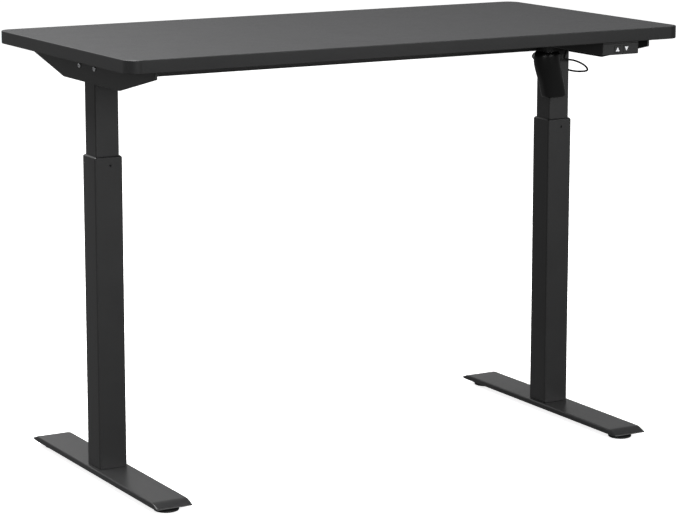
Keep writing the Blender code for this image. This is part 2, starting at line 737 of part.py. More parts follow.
def bevel_gear(apex, direction, phase):
    """Teeth that shrink towards the apex; the direction points from the gear's back to the apex."""
    outline = gear_outline(BEVEL_TEETH, phase)
    back = GEAR_MODULE * BEVEL_TEETH / 2
    frame = bevel_frame(apex, direction)
    rings = []
    for scale in (1.0, BEVEL_FACE):
        rings.append([frame @ Vector((x * scale, y * scale, -back * scale)) for x, y in outline])
    return loft(rings)


def bevel_frame(apex, direction):
    """A frame at the apex whose Z is the gear's axis and whose X lies in the plane of both gears' axes."""
    z_axis = Vector(direction)
    y_axis = Vector((0, 1, 0))
    x_axis = y_axis.cross(z_axis)
    rotation = Matrix((x_axis, y_axis, z_axis)).transposed().to_4x4()
    return Matrix.Translation(apex) @ rotation


def make_spindle(side, sign, material, gear_material):
    apex = Vector((sign * COLUMN_X, COLUMN_Y, SHAFT_Z))
    pivot = make_pivot(f"spindle_{side}_axis", apex)
    neck_bottom = CASE_BOTTOM + FIT_GAP
    back = GEAR_MODULE * BEVEL_TEETH / 2
    neck_top = SHAFT_Z - back * BEVEL_FACE
    profile = (
        (0, SPINDLE_RADIUS - SPINDLE_EDGE),
        (SPINDLE_EDGE, SPINDLE_RADIUS),
        (neck_bottom - SPINDLE_BOTTOM, SPINDLE_RADIUS),
        (neck_bottom - SPINDLE_BOTTOM + COPLANAR_STEP, SPINDLE_NECK_RADIUS),
        (neck_top - SPINDLE_BOTTOM, SPINDLE_NECK_RADIUS),
    )
    origin = (apex.x, apex.y, SPINDLE_BOTTOM)
    finish_object(f"spindle_{side}", turned(profile, origin, (0, 0, 1)), material, pivot)
    gear_data = bevel_gear(apex, (0, 0, 1), 0)
    gear = finish_object(f"spindle_gear_{side}", gear_data, gear_material, pivot)
    hub_low = CASE_BOTTOM + CASE_WALL + FIT_GAP
    hub_height = apex.z - back - hub_low + OVERLAP
    hub = ((0, BEVEL_HUB_RADIUS), (hub_height, BEVEL_HUB_RADIUS))
    join(gear, turned(hub, (apex.x, apex.y, hub_low), (0, 0, 1)))
    if side == "right":
        join(gear, spur_gear(SPUR_TEETH, spur_phase(), (apex.x, apex.y), hub_low, hub_low + SPUR_THICKNESS))
    bore = neck_top - hub_low + 2 * OVERCUT
    drill(gear, (apex.x, apex.y, hub_low - OVERCUT), (0, 0, 1), SPINDLE_NECK_RADIUS + FIT_GAP, bore)


def make_drive_shaft(material, gear_material):
    """The hexagonal shaft and the bevel gear on each of its ends."""
    pivot = make_pivot("drive_shaft_axis", (0, COLUMN_Y, SHAFT_Z))
    back = GEAR_MODULE * BEVEL_TEETH / 2
    end_x = COLUMN_X - back * SHAFT_END_SHARE
    section = hexagon(COLUMN_Y, SHAFT_Z, SHAFT_ACROSS_FLATS)
    shaft = bevelled_prism(section, "x", -end_x, end_x, SHAFT_EDGE)
    finish_object("drive_shaft", shaft, material, pivot, False)
    for side, sign in SIDES.items():
        apex = Vector((sign * COLUMN_X, COLUMN_Y, SHAFT_Z))
        half_tooth = math.pi / BEVEL_TEETH
        gear = finish_object(
            f"shaft_gear_{side}", bevel_gear(apex, (sign, 0, 0), half_tooth), gear_material, pivot
        )
        hub_start = (sign * (COLUMN_X - back - SHAFT_HUB_LENGTH), COLUMN_Y, SHAFT_Z)
        hub_profile = ((0, BEVEL_HUB_RADIUS), (SHAFT_HUB_LENGTH + OVERLAP, BEVEL_HUB_RADIUS))
        hub = turned(hub_profile, hub_start, (sign, 0, 0))
        join(gear, hub)
        bore = hexagon(COLUMN_Y, SHAFT_Z, SHAFT_ACROSS_FLATS + 2 * FIT_GAP)
        low, high = sorted((hub_start[0] - sign * OVERCUT, sign * COLUMN_X))
        cut(gear, prism(bore, "x", low, high))


def motor_run():
    """From the motor's axis to the right column's axis."""
    return Vector((COLUMN_X - MOTOR_X, COLUMN_Y - MOTOR_Y))


def idler_teeth():
    """The fewest teeth whose idler still reaches from the pinion to the spindle's gear."""
    return math.ceil(motor_run().length / GEAR_MODULE - (PINION_TEETH + SPUR_TEETH) / 2)


def idler_centre():
    """Where the idler meshes with both the motor's pinion and the gear on the right spindle."""
    first = GEAR_MODULE * (PINION_TEETH + idler_teeth()) / 2
    second = GEAR_MODULE * (idler_teeth() + SPUR_TEETH) / 2
    run = motor_run()
    span = run.length
    along = (span**2 + first**2 - second**2) / (2 * span)
    aside = math.sqrt(first**2 - along**2)
    ahead = run.normalized()
    across = Vector((ahead.y, -ahead.x))
    return Vector((MOTOR_X, MOTOR_Y)) + ahead * along + across * aside


def spur_phase():
    """The right spindle's gear has a tooth that points at the idler."""
    towards = idler_centre() - Vector((COLUMN_X, COLUMN_Y))
    return math.atan2(towards.y, towards.x)


def idler_phase():
    return spur_phase() + math.pi + math.pi / idler_teeth()


def pinion_phase():
    """The pinion's gap meets whatever the idler shows on the line between them."""
    centre = idler_centre()
    towards = math.atan2(MOTOR_Y - centre.y, MOTOR_X - centre.x)
    pitch = 2 * math.pi / idler_teeth()
    ahead = (idler_phase() - towards) % pitch
    return towards + math.pi + math.pi / PINION_TEETH - ahead * idler_teeth() / PINION_TEETH


def make_idler(material):
    centre = idler_centre()
    low = CASE_BOTTOM + CASE_WALL + FIT_GAP
    pivot = make_pivot("idler_axis", (centre.x, centre.y, low))
    data = spur_gear(idler_teeth(), idler_phase(), centre, low, low + SPUR_THICKNESS)
    gear = finish_object("idler_gear", data, material, pivot)
    bore = SPUR_THICKNESS + 2 * OVERCUT
    drill(gear, (centre.x, centre.y, low - OVERCUT), (0, 0, 1), IDLER_PIN_RADIUS + RUN_GAP, bore)


# ================================================================ gear cases
def case_outline(side):
    """The case's plan: a block between the rails, and on the right also the arm that carries the motor."""
    front = COLUMN_Y - RAIL_SPACING / 2 + RAIL_WIDTH / 2 + FIT_GAP
    rear = COLUMN_Y + RAIL_SPACING / 2 - RAIL_WIDTH / 2 - FIT_GAP
    if side == "left":
        return rounded_rectangle(-FRAME_X, front, -CASE_INNER_X, rear, CASE_CORNER)
    rail_front = COLUMN_Y - RAIL_SPACING / 2 - RAIL_WIDTH / 2
    corners = [
        (RAIL_CUT_X + FIT_GAP, rail_front),
        (RAIL_CUT_X + FIT_GAP, front),
        (CASE_INNER_X, rear),
        (FRAME_X, rear),
        (FRAME_X, rail_front),
    ]
    idler_room = GEAR_MODULE * (idler_teeth() / 2 + TOOTH_HEIGHT_OUT) + CASE_WALL + 2 * RUN_GAP
    round_idler = circle(*idler_centre(), idler_room)
    return convex_hull(corners + round_idler + circle(MOTOR_X, MOTOR_Y, MOTOR_NECK_RADIUS))


def make_gear_case(side, sign, material, lift):
    outline = case_outline(side)
    centre_x = sign * COLUMN_X
    case = finish_object(f"gear_case_{side}", prism(outline, "z", CASE_BOTTOM, CASE_TOP), material, lift)
    floor = CASE_BOTTOM + CASE_WALL
    cut(case, prism(inset_outline(outline, CASE_WALL), "z", floor, CASE_TOP + OVERCUT))
    spigot_half = INNER_SIZE / 2 - INNER_WALL - FIT_GAP
    spigot = rounded_rectangle(
        centre_x - spigot_half,
        COLUMN_Y - spigot_half,
        centre_x + spigot_half,
        COLUMN_Y + spigot_half,
        INNER_CORNER,
    )
    join(case, prism(spigot, "z", CASE_BOTTOM - SPIGOT_HEIGHT, CASE_BOTTOM + CASE_WALL / 2))
    bore_low = CASE_BOTTOM - SPIGOT_HEIGHT - OVERCUT
    bore_length = floor + OVERLAP - bore_low
    drill(case, (centre_x, COLUMN_Y, bore_low), (0, 0, 1), SPINDLE_RADIUS + RUN_GAP, bore_length)
    across = SHAFT_ACROSS_FLATS / 2 / math.cos(math.pi / 6)
    shaft_end = (sign * (RAIL_CUT_X - OVERCUT), COLUMN_Y, SHAFT_Z)
    reach = CASE_INNER_X + CASE_WALL + OVERLAP - RAIL_CUT_X + OVERCUT
    drill(case, shaft_end, (sign, 0, 0), max(across, BEVEL_HUB_RADIUS) + RUN_GAP, reach)
    if side == "left":
        return
    shaft_hole = (MOTOR_X, MOTOR_Y, CASE_BOTTOM - OVERCUT)
    drill(case, shaft_hole, (0, 0, 1), MOTOR_SHAFT_RADIUS + RUN_GAP, CASE_WALL + 2 * OVERCUT)
    bolt = (FRAME_X - CASE_WALL - OVERCUT, COLUMN_Y - BRACKET_BOLT_SPAN, SHAFT_Z)
    drill(case, bolt, (1, 0, 0), BRACKET_BOLT_RADIUS + FIT_GAP, CASE_WALL + 2 * OVERCUT)
    centre = idler_centre()
    pin_low = CASE_BOTTOM + CASE_WALL / 2
    pin_height = CASE_WALL / 2 + FIT_GAP + SPUR_THICKNESS + IDLER_PIN_RISE
    join(case, turned(((0, IDLER_PIN_RADIUS), (pin_height, IDLER_PIN_RADIUS)), (*centre, pin_low), (0, 0, 1)))


def make_case_lid(side, material, lift):
    data = prism(case_outline(side), "z", CASE_TOP + FIT_GAP, RAIL_TOP)
    finish_object(f"gear_case_lid_{side}", data, material, lift)


# ================================================================ motor
def cover_ring(section, wall):
    """One level of the motor cover as a squared-off ellipse."""
    drop, centre_x, centre_y, half_width, half_depth, squareness = section
    height = CASE_BOTTOM - drop
    ring = []
    for step in range(ROUND_STEPS):
        angle = 2 * math.pi * (step + 0.5) / ROUND_STEPS
        cosine = math.cos(angle)
        sine = math.sin(angle)
        x = (half_width - wall) * math.copysign(abs(cosine) ** (2 / squareness), cosine)
        y = (half_depth - wall) * math.copysign(abs(sine) ** (2 / squareness), sine)
        ring.append((MOTOR_X + centre_x + x, MOTOR_Y + centre_y + y, height))
    return ring


def make_motor_cover(material, lift):
    """A deep cup, open at the top, that hugs the front of the column."""
    outer = [cover_ring(section, 0) for section in COVER_SECTIONS]
    inner = [cover_ring(section, COVER_WALL) for section in COVER_SECTIONS[2:]]
    floor = CASE_BOTTOM - COVER_SECTIONS[1][0]
    inner.insert(0, [(x, y, floor) for x, y, _ in cover_ring(COVER_SECTIONS[1], COVER_FLOOR_INSET)])
    data = bmesh.new()
    rings = outer + inner[::-1]
    loft(rings, data)
    finish_object("motor_cover", data, material, lift)


def make_motor(can_material, rotor_material, lift):
    """A steel can, and the rotor whose shaft ends in the pinion."""
    can_top = CASE_BOTTOM - FIT_GAP
    can_bottom = can_top - MOTOR_CAN_HEIGHT
    profile = (
        (0, MOTOR_CAN_RADIUS - MOTOR_CAN_EDGE),
        (MOTOR_CAN_EDGE, MOTOR_CAN_RADIUS),
        (MOTOR_CAN_HEIGHT, MOTOR_CAN_RADIUS),
    )
    origin = (MOTOR_X, MOTOR_Y, can_bottom)
    can = finish_object("motor_can", turned(profile, origin, (0, 0, 1), ROUND_STEPS), can_material, lift)
    inner_radius = MOTOR_CAN_RADIUS - MOTOR_CAN_WALL
    chamber = MOTOR_CAN_HEIGHT - 2 * MOTOR_CAN_WALL
    drill(can, (MOTOR_X, MOTOR_Y, can_bottom + MOTOR_CAN_WALL), (0, 0, 1), inner_radius, chamber)
    drill(can, (MOTOR_X, MOTOR_Y, can_top - OVERCUT), (0, 0, 1), MOTOR_SHAFT_RADIUS + RUN_GAP, 2 * OVERCUT)
    pinion_low = CASE_BOTTOM + CASE_WALL + FIT_GAP
    pivot = make_pivot("motor_axis", (MOTOR_X, MOTOR_Y, can_top))
    armature_low = can_bottom + MOTOR_CAN_WALL + ARMATURE_LIFT
    armature_high = armature_low + ARMATURE_HEIGHT
    shaft_low = can_bottom + MOTOR_CAN_WALL + MOTOR_END_GAP
    rotor_profile = (
        (0, MOTOR_SHAFT_RADIUS),
        (armature_low - shaft_low, MOTOR_SHAFT_RADIUS),
        (armature_low - shaft_low + SHOULDER, ARMATURE_RADIUS),
        (armature_high - shaft_low, ARMATURE_RADIUS),
        (armature_high - shaft_low + SHOULDER, MOTOR_SHAFT_RADIUS),
        (pinion_low + SPUR_THICKNESS - shaft_low, MOTOR_SHAFT_RADIUS),
    )
    rotor_data = turned(rotor_profile, (MOTOR_X, MOTOR_Y, shaft_low), (0, 0, 1))
    rotor = finish_object("motor_rotor", rotor_data, rotor_material, pivot)
    pinion_high = pinion_low + SPUR_THICKNESS - COPLANAR_STEP
    join(rotor, spur_gear(PINION_TEETH, pinion_phase(), (MOTOR_X, MOTOR_Y), pinion_low, pinion_high))


# ================================================================ frame under the board
def bracket_profile():
    """The bracket's side outline in Y and Z, anticlockwise."""
    bottom = UNDER_BOARD - BRACKET_DROP
    end = UNDER_BOARD - BRACKET_END_HEIGHT
    return (
        (-BRACKET_FLAT_HALF, bottom),
        (BRACKET_FLAT_HALF, bottom),
        (BRACKET_HALF_LENGTH, end),
        (BRACKET_HALF_LENGTH, UNDER_BOARD),
        (-BRACKET_HALF_LENGTH, UNDER_BOARD),
        (-BRACKET_HALF_LENGTH, end),
    )


def make_bracket(side, sign, material, lift):
    """A plate with a wide flange under the board and a narrow lip round its other edges."""
    far = BRACKET_OUTER_X - BRACKET_FLANGE
    low, high = sorted((sign * BRACKET_OUTER_X, sign * far))
    data = bevelled_prism(bracket_profile(), "x", low, high, BRACKET_EDGE)
    bracket = finish_object(f"side_bracket_{side}", data, material, lift)
    bottom = UNDER_BOARD - BRACKET_DROP
    beyond = sign * (far - OVERCUT)
    low, high = sorted((sign * BRACKET_INNER_X, beyond))
    cut(bracket, prism(inset_outline(bracket_profile(), BRACKET_SHEET), "x", low, high))
    half_notch = INNER_SIZE / 2 + BRACKET_NOTCH_GAP
    notch_top = bottom + BRACKET_SHEET + OVERLAP
    notch_low = (low, COLUMN_Y - half_notch, bottom - OVERCUT)
    cut(bracket, box(notch_low, (high, COLUMN_Y + half_notch, notch_top)))
    low, high = sorted((sign * (BRACKET_OUTER_X - BRACKET_LIP), beyond))
    half_length = BRACKET_HALF_LENGTH + OVERCUT
    under_flange = UNDER_BOARD - BRACKET_SHEET + COPLANAR_STEP
    cut(bracket, box((low, -half_length, bottom - OVERCUT), (high, half_length, under_flange)))
    for end_sign in ENDS.values():
        bolt = (sign * (BRACKET_INNER_X - OVERCUT), COLUMN_Y + end_sign * BRACKET_BOLT_SPAN, SHAFT_Z)
        drill(bracket, bolt, (sign, 0, 0), BRACKET_BOLT_RADIUS + FIT_GAP, BRACKET_SHEET + 2 * OVERCUT)
        screw = (sign * screw_x(), end_sign * BOARD_SCREW_Y, UNDER_BOARD - BRACKET_SHEET - OVERCUT)
        drill(bracket, screw, (0, 0, 1), BOARD_SCREW_RADIUS + FIT_GAP, BRACKET_SHEET + 2 * OVERCUT)


def screw_x():
    return BRACKET_INNER_X - (BRACKET_FLANGE - BRACKET_SHEET) / 2


def make_bracket_bolt(side, sign, end, end_sign, material, lift):
    head_end = BRACKET_OUTER_X + FIT_GAP + BRACKET_BOLT_HEAD
    origin = (sign * head_end, COLUMN_Y + end_sign * BRACKET_BOLT_SPAN, SHAFT_Z)
    profile = (
        *((depth, BRACKET_BOLT_HEAD_RADIUS * share) for depth, share in BRACKET_BOLT_DOME),
        (BRACKET_BOLT_HEAD, BRACKET_BOLT_HEAD_RADIUS),
        (BRACKET_BOLT_HEAD + SHOULDER, BRACKET_BOLT_RADIUS),
        (BRACKET_BOLT_HEAD + BRACKET_BOLT_LENGTH, BRACKET_BOLT_RADIUS),
    )
    name = f"bracket_bolt_{side}_{end}"
    finish_object(name, turned(profile, origin, (-sign, 0, 0)), material, lift)


def make_board_screw(side, sign, end, end_sign, material, lift):
    head_bottom = UNDER_BOARD - BRACKET_SHEET - FIT_GAP - BOARD_SCREW_HEAD
    origin = (sign * screw_x(), end_sign * BOARD_SCREW_Y, head_bottom)
    length = BOARD_BOTTOM + BOARD_SCREW_BITE - head_bottom
    profile = (
        (0, BOARD_SCREW_HEAD_RADIUS / 2),
        (BOARD_SCREW_HEAD / 3, BOARD_SCREW_HEAD_RADIUS),
        (BOARD_SCREW_HEAD, BOARD_SCREW_HEAD_RADIUS),
        (BOARD_SCREW_HEAD + SHOULDER, BOARD_SCREW_RADIUS),
        (length - BOARD_SCREW_POINT, BOARD_SCREW_RADIUS),
        (length, BOARD_SCREW_RADIUS / 3),
    )
    finish_object(f"desktop_screw_{side}_{end}", turned(profile, origin, (0, 0, 1), 12), material, lift)


def make_rail(name, centre_y, right_end, face_sign, material, lift):
    """A box rail from the left bracket to its right end, with open slots in the face towards the shaft."""
    half = RAIL_WIDTH / 2
    outline = rounded_rectangle(centre_y - half, RAIL_BOTTOM, centre_y + half, RAIL_TOP, RAIL_CORNER, 2)
    rail = finish_object(name, prism(outline, "x", -FRAME_X, right_end), material, lift)
    hollow_low = -FRAME_X + RAIL_END_BLOCK
    hollow_high = right_end - RAIL_END_BLOCK
    cut(rail, prism(inset_outline(outline, RAIL_WALL), "x", hollow_low, hollow_high))
    middle = (RAIL_BOTTOM + RAIL_TOP) / 2
    pitch = (hollow_high - hollow_low) / RAIL_SLOT_COUNT
    near, far = sorted((centre_y, centre_y + face_sign * (half + OVERCUT)))
    for slot in range(RAIL_SLOT_COUNT):
        centre = hollow_low + pitch * (slot + 0.5)
        cut(
            rail,
            box(
                (centre - RAIL_SLOT_LENGTH / 2, near, middle - RAIL_SLOT_HEIGHT / 2),
                (centre + RAIL_SLOT_LENGTH / 2, far, middle + RAIL_SLOT_HEIGHT / 2),
            ),
        )
    depth = BRACKET_BOLT_LENGTH + OVERCUT
    bolt_y = COLUMN_Y - face_sign * BRACKET_BOLT_SPAN
    ends = [(-1, -FRAME_X)] + ([(1, FRAME_X)] if right_end == FRAME_X else [])
    for sign, end_x in ends:
        bolt = (end_x + sign * OVERCUT, bolt_y, SHAFT_Z)
        drill(rail, bolt, (-sign, 0, 0), BRACKET_BOLT_RADIUS + FIT_GAP, depth)


# ================================================================ desktop
def make_desktop(material, lift):
    outline = rounded_rectangle(
        -DESK_WIDTH / 2, -DESK_DEPTH / 2, DESK_WIDTH / 2, DESK_DEPTH / 2, BOARD_CORNER_RADIUS, 8
    )
    board = finish_object(
        "desktop", bevelled_prism(outline, "z", BOARD_BOTTOM, DESK_TOP, BOARD_EDGE_ROUND), material, lift
    )
    for sign in SIDES.values():
        for end_sign in ENDS.values():
            start = (sign * screw_x(), end_sign * BOARD_SCREW_Y, BOARD_BOTTOM - OVERCUT)
            depth = OVERCUT + BOARD_SCREW_BITE + FIT_GAP
            drill(board, start, (0, 0, 1), BOARD_SCREW_RADIUS + FIT_GAP, depth, 12)


# ================================================================ controller
def controller_plan(inset):
    return rounded_rectangle(
        CONTROLLER_LEFT + inset,
        CONTROLLER_FRONT + inset,
        CONTROLLER_RIGHT - inset,
        CONTROLLER_BACK - inset,
        max(CONTROLLER_CORNER - inset, LEAST_CORNER),
    )


def button_outline(centre_x, grow):
    return rounded_rectangle(
        centre_x - BUTTON_WIDTH / 2 - grow,
        BUTTON_Z - BUTTON_HEIGHT / 2 - grow,
        centre_x + BUTTON_WIDTH / 2 + grow,
        BUTTON_Z + BUTTON_HEIGHT / 2 + grow,
        BUTTON_CORNER + grow,
    )


def inlet_box(grow, low_y, high_y):
    centre_z = (CONTROLLER_BOTTOM + CONTROLLER_TOP) / 2
    return box(
        (INLET_X - INLET_WIDTH / 2 - grow, low_y, centre_z - INLET_HEIGHT / 2 - grow),
        (INLET_X + INLET_WIDTH / 2 + grow, high_y, centre_z + INLET_HEIGHT / 2 + grow),
    )


def make_controller(materials, lift):
    """A tray with the buttons in its front and the sockets in its back, closed by a lid under the board."""
    tray_data = prism(controller_plan(0), "z", CONTROLLER_BOTTOM, CONTROLLER_TOP)
    tray = finish_object("controller_tray", tray_data, materials["black_plastic"], lift)
    floor = CONTROLLER_BOTTOM + CONTROLLER_WALL
    cut(tray, prism(controller_plan(CONTROLLER_WALL), "z", floor, CONTROLLER_TOP + OVERCUT))
    for offset in BUTTON_OFFSETS.values():
        centre_x = CONTROLLER_LEFT + offset
        low_y = CONTROLLER_FRONT - OVERCUT
        inside = CONTROLLER_FRONT + CONTROLLER_WALL + OVERLAP
        cut(tray, prism(button_outline(centre_x, RUN_GAP), "y", low_y, inside))
    cut(tray, inlet_box(FIT_GAP, CONTROLLER_BACK - CONTROLLER_WALL - OVERLAP, CONTROLLER_BACK + OVERCUT))
    start = (RELIEF_X, CONTROLLER_BACK - OVERCUT, RELIEF_Z)
    drill(tray, start, (0, 1, 0), RELIEF_NECK_RADIUS + FIT_GAP, 2 * OVERCUT)
    lid = bevelled_prism(controller_plan(0), "z", CONTROLLER_TOP + FIT_GAP, UNDER_BOARD, CONTROLLER_EDGE)
    finish_object("controller_lid", lid, materials["black_plastic"], lift)
    make_circuit_board(materials["circuit"], lift)
    make_inlet(materials["black_plastic"], lift)
    make_strain_relief(materials["rubber"], lift)


def make_circuit_board(material, lift):
    low_x = CONTROLLER_LEFT + CONTROLLER_WALL + CIRCUIT_MARGIN
    high_x = CONTROLLER_RIGHT - CONTROLLER_WALL - CIRCUIT_MARGIN
    front = CONTROLLER_FRONT + CONTROLLER_WALL + BUTTON_DEPTH + BUTTON_TRAVEL + CIRCUIT_MARGIN
    low_z = CONTROLLER_BOTTOM + CONTROLLER_WALL + BOARD_GAP - OVERLAP
    top = low_z + BOARD_SHEET
    sheet = box((low_x, front, low_z), (high_x, front + CIRCUIT_LENGTH, top))
    circuit = finish_object("controller_board", sheet, material, lift)
    for left, right, near, far, height in CIRCUIT_PARTS:
        low = (low_x + left, front + near, low_z + BOARD_SHEET / 2)
        join(circuit, box(low, (low_x + right, front + far, top + height)))


def make_inlet(material, lift):
    """The mains socket in the controller's back: a flanged cup with two pins."""
    flange_low = CONTROLLER_BACK + FIT_GAP
    flange_high = flange_low + INLET_FLANGE
    body_low = flange_high - INLET_DEPTH
    inlet = finish_object("mains_inlet", inlet_box(0, body_low, flange_high), material, lift)
    join(inlet, inlet_box(INLET_FLANGE_MARGIN, flange_low, flange_high))
    cut(inlet, inlet_box(-INLET_WALL, body_low + INLET_FLOOR, flange_high + OVERCUT))
    centre_z = (CONTROLLER_BOTTOM + CONTROLLER_TOP) / 2
    pin_length = INLET_DEPTH - INLET_FLOOR / 2 - INLET_PIN_SETBACK
    for sign in SIDES.values():
        origin = (INLET_X + sign * INLET_PIN_OFFSET, body_low + INLET_FLOOR / 2, centre_z)
        join(inlet, turned(((0, INLET_PIN_RADIUS), (pin_length, INLET_PIN_RADIUS)), origin, (0, 1, 0), 8))


def make_strain_relief(material, lift):
    origin = (RELIEF_X, CONTROLLER_BACK - CONTROLLER_WALL - RELIEF_INSIDE, RELIEF_Z)
    outside = CONTROLLER_WALL + RELIEF_INSIDE + FIT_GAP
    profile = (
        (0, RELIEF_NECK_RADIUS),
        (outside, RELIEF_NECK_RADIUS),
        (outside + SHOULDER, RELIEF_RADIUS),
        (outside + RELIEF_COLLAR, RELIEF_RADIUS),
        (outside + RELIEF_LENGTH, RELIEF_TIP_RADIUS),
    )
    finish_object("cable_strain_relief", turned(profile, origin, (0, 1, 0)), material, lift)


def make_buttons(material):
    for name, offset in BUTTON_OFFSETS.items():
        centre_x = CONTROLLER_LEFT + offset
        front = CONTROLLER_FRONT - BUTTON_PROUD
        pivot = make_pivot(f"{name}_axis", (centre_x, front, BUTTON_Z))
        data = bevelled_prism(button_outline(centre_x, 0), "y", front, front + BUTTON_DEPTH, CONTROLLER_EDGE)
        button = finish_object(name, data, material, pivot)
        lip_low = CONTROLLER_FRONT + CONTROLLER_WALL + FIT_GAP
        join(button, prism(button_outline(centre_x, BUTTON_LIP), "y", lip_low, lip_low + BUTTON_LIP))


# ================================================================ motor cable
def smooth_route(points, steps):
    """Points on a Catmull-Rom curve through the route's own points."""
    route = [Vector(point) for point in points]
    first = route[0] * 2 - route[1]
    last = route[-1] * 2 - route[-2]
    padded = [first, *route, last]
    smooth = []
    for a, b, c, d in zip(padded, padded[1:], padded[2:], padded[3:]):
        for step in range(steps):
            t = step / steps
            straight = 2 * b + (c - a) * t
            bend = (2 * a - 5 * b + 4 * c - d) * t**2 + (3 * b - a - 3 * c + d) * t**3
            smooth.append((straight + bend) / 2)
    return smooth + [route[-1]]


def make_cable(material, lift):
    curve = bpy.data.curves.new("motor_cable", "CURVE")
    curve.dimensions = "3D"
    curve.bevel_depth = CABLE_RADIUS
    curve.bevel_resolution = 2
    curve.use_fill_caps = True
    points = smooth_route(CABLE_ROUTE, CABLE_STEPS)
    spline = curve.splines.new("POLY")
    spline.points.add(len(points) - 1)
    for place, point in zip(spline.points, points):
        place.co = (*point, 1.0)
    curve.materials.append(material)
    cable = bpy.data.objects.new("motor_cable", curve)
    cable.parent = lift
    bpy.context.scene.collection.objects.link(cable)


# ================================================================ assembly
def make_base(materials, base):
    for side, sign in SIDES.items():
        make_foot(side, sign, materials["powder_coat"], base)
        tube_top = make_outer_tube(side, sign, materials["powder_coat"], base)
        make_collar(side, sign, tube_top, materials["grey_plastic"], base)
        make_collar_screw(side, sign, tube_top, materials["steel"], base)
        make_nut(side, sign, materials["grey_plastic"], materials["steel"], base)
        for end, end_sign in ENDS.items():
            make_foot_bolt(side, sign, end, end_sign, materials["steel"], base)
            make_leveller(side, sign, end, end_sign, materials["rubber"])


def make_drive(materials, lift):
    for side, sign in SIDES.items():
        make_spindle(side, sign, materials["steel"], materials["steel"])
        make_gear_case(side, sign, materials["black_plastic"], lift)
        make_case_lid(side, materials["black_plastic"], lift)
    make_drive_shaft(materials["steel"], materials["steel"])
    make_idler(materials["steel"])
    make_motor(materials["zinc"], materials["steel"], lift)
    make_motor_cover(materials["black_plastic"], lift)


def make_frame(materials, lift):
    rail_offset = RAIL_SPACING / 2
    make_rail("front_rail", COLUMN_Y - rail_offset, RAIL_CUT_X, 1, materials["powder_coat"], lift)
    make_rail("rear_rail", COLUMN_Y + rail_offset, FRAME_X, -1, materials["powder_coat"], lift)
    for side, sign in SIDES.items():
        make_inner_tube(side, sign, materials["powder_coat"], lift)
        make_glide(side, sign, materials["grey_plastic"], lift)
        make_bracket(side, sign, materials["powder_coat"], lift)
        for end, end_sign in ENDS.items():
            make_bracket_bolt(side, sign, end, end_sign, materials["zinc"], lift)
            make_board_screw(side, sign, end, end_sign, materials["zinc"], lift)


def main():
    clear_scene()
    materials = make_materials()
    base = make_pivot("base", (0, 0, 0))
    lift = make_pivot("lift", (0, 0, 0))
    make_base(materials, base)
    make_frame(materials, lift)
    make_drive(materials, lift)
    make_desktop(materials["laminate"], lift)
    make_controller(materials, lift)
    make_buttons(materials["black_plastic"])
    make_cable(materials["cable_jacket"], lift)


main()
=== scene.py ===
"""Height-adjustable standing desk: the finished surfaces of its parts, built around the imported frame.

Units are metres and +Z is up. Sizes and places come from the frame's nodes, so each piece sits where the
working model has it. The fixed columns ride on the base, and the desktop with its frame rides on the lift.
"""

import math

import bmesh
import bpy
from mathutils import Matrix, Vector


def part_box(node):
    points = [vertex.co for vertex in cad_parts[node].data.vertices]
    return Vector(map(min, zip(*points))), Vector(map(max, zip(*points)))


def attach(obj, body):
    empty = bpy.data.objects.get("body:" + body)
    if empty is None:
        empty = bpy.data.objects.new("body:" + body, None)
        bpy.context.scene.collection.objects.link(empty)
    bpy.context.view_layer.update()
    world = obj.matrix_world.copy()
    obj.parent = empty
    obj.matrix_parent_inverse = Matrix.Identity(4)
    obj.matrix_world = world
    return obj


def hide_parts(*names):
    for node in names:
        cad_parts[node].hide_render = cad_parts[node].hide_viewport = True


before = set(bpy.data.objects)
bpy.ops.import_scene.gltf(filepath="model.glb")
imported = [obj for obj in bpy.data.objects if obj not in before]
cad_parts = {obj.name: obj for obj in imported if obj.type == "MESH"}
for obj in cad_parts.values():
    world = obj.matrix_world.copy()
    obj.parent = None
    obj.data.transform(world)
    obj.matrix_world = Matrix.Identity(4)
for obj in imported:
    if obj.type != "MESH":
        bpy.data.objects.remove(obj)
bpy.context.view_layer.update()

# ---------------------------------------------------------------- camera
CAMERA_PLACE = (-2.4755, -4.3027, 1.3695)
CAMERA_TILT = math.radians(79.92)
CAMERA_TURN = math.radians(-29.81)
CAMERA_LENS = 132.8
CAMERA_SHIFT = (0.0031, -0.0751)

# ---------------------------------------------------------------- shared sizes
SIDES = {"left": -1, "right": 1}
ENDS = {"front": -1, "rear": 1}
LEAST_RADIUS = 0.0002
SHARP_ANGLE = math.radians(40)
COARSE_STEPS = 5
ROUND_STEPS = 48


# ================================================================ shape helpers
def rectangle(low, high):
    """The four corners of a rectangle, anticlockwise."""
    corners = ((low[0], low[1]), (high[0], low[1]), (high[0], high[1]), (low[0], high[1]))
    return [Vector(point) for point in corners]


def inset_polygon(corners, distance):
    """Each side of an anticlockwise polygon moved inwards."""
    moved = []
    for index, corner in enumerate(corners):
        first = (corner - corners[index - 1]).normalized()
        second = (corners[(index + 1) % len(corners)] - corner).normalized()
        first_normal = Vector((-first.y, first.x))
        bisector = (first_normal + Vector((-second.y, second.x))).normalized()
        moved.append(corner + bisector * distance / bisector.dot(first_normal))
    return moved


def round_corners(corners, radius, steps):
    """A convex anticlockwise polygon with an arc at each corner."""
    outline = []
    for index, corner in enumerate(corners):
        before = (corners[index - 1] - corner).normalized()
        after = (corners[(index + 1) % len(corners)] - corner).normalized()
        half = before.angle(after) / 2
        centre = corner + (before + after).normalized() * radius / math.sin(half)
        start = corner + before * radius / math.tan(half) - centre
        first = math.atan2(start.y, start.x)
        for step in range(steps + 1):
            angle = first + (math.pi - 2 * half) * step / steps
            outline.append(centre + Vector((math.cos(angle), math.sin(angle))) * radius)
    return outline


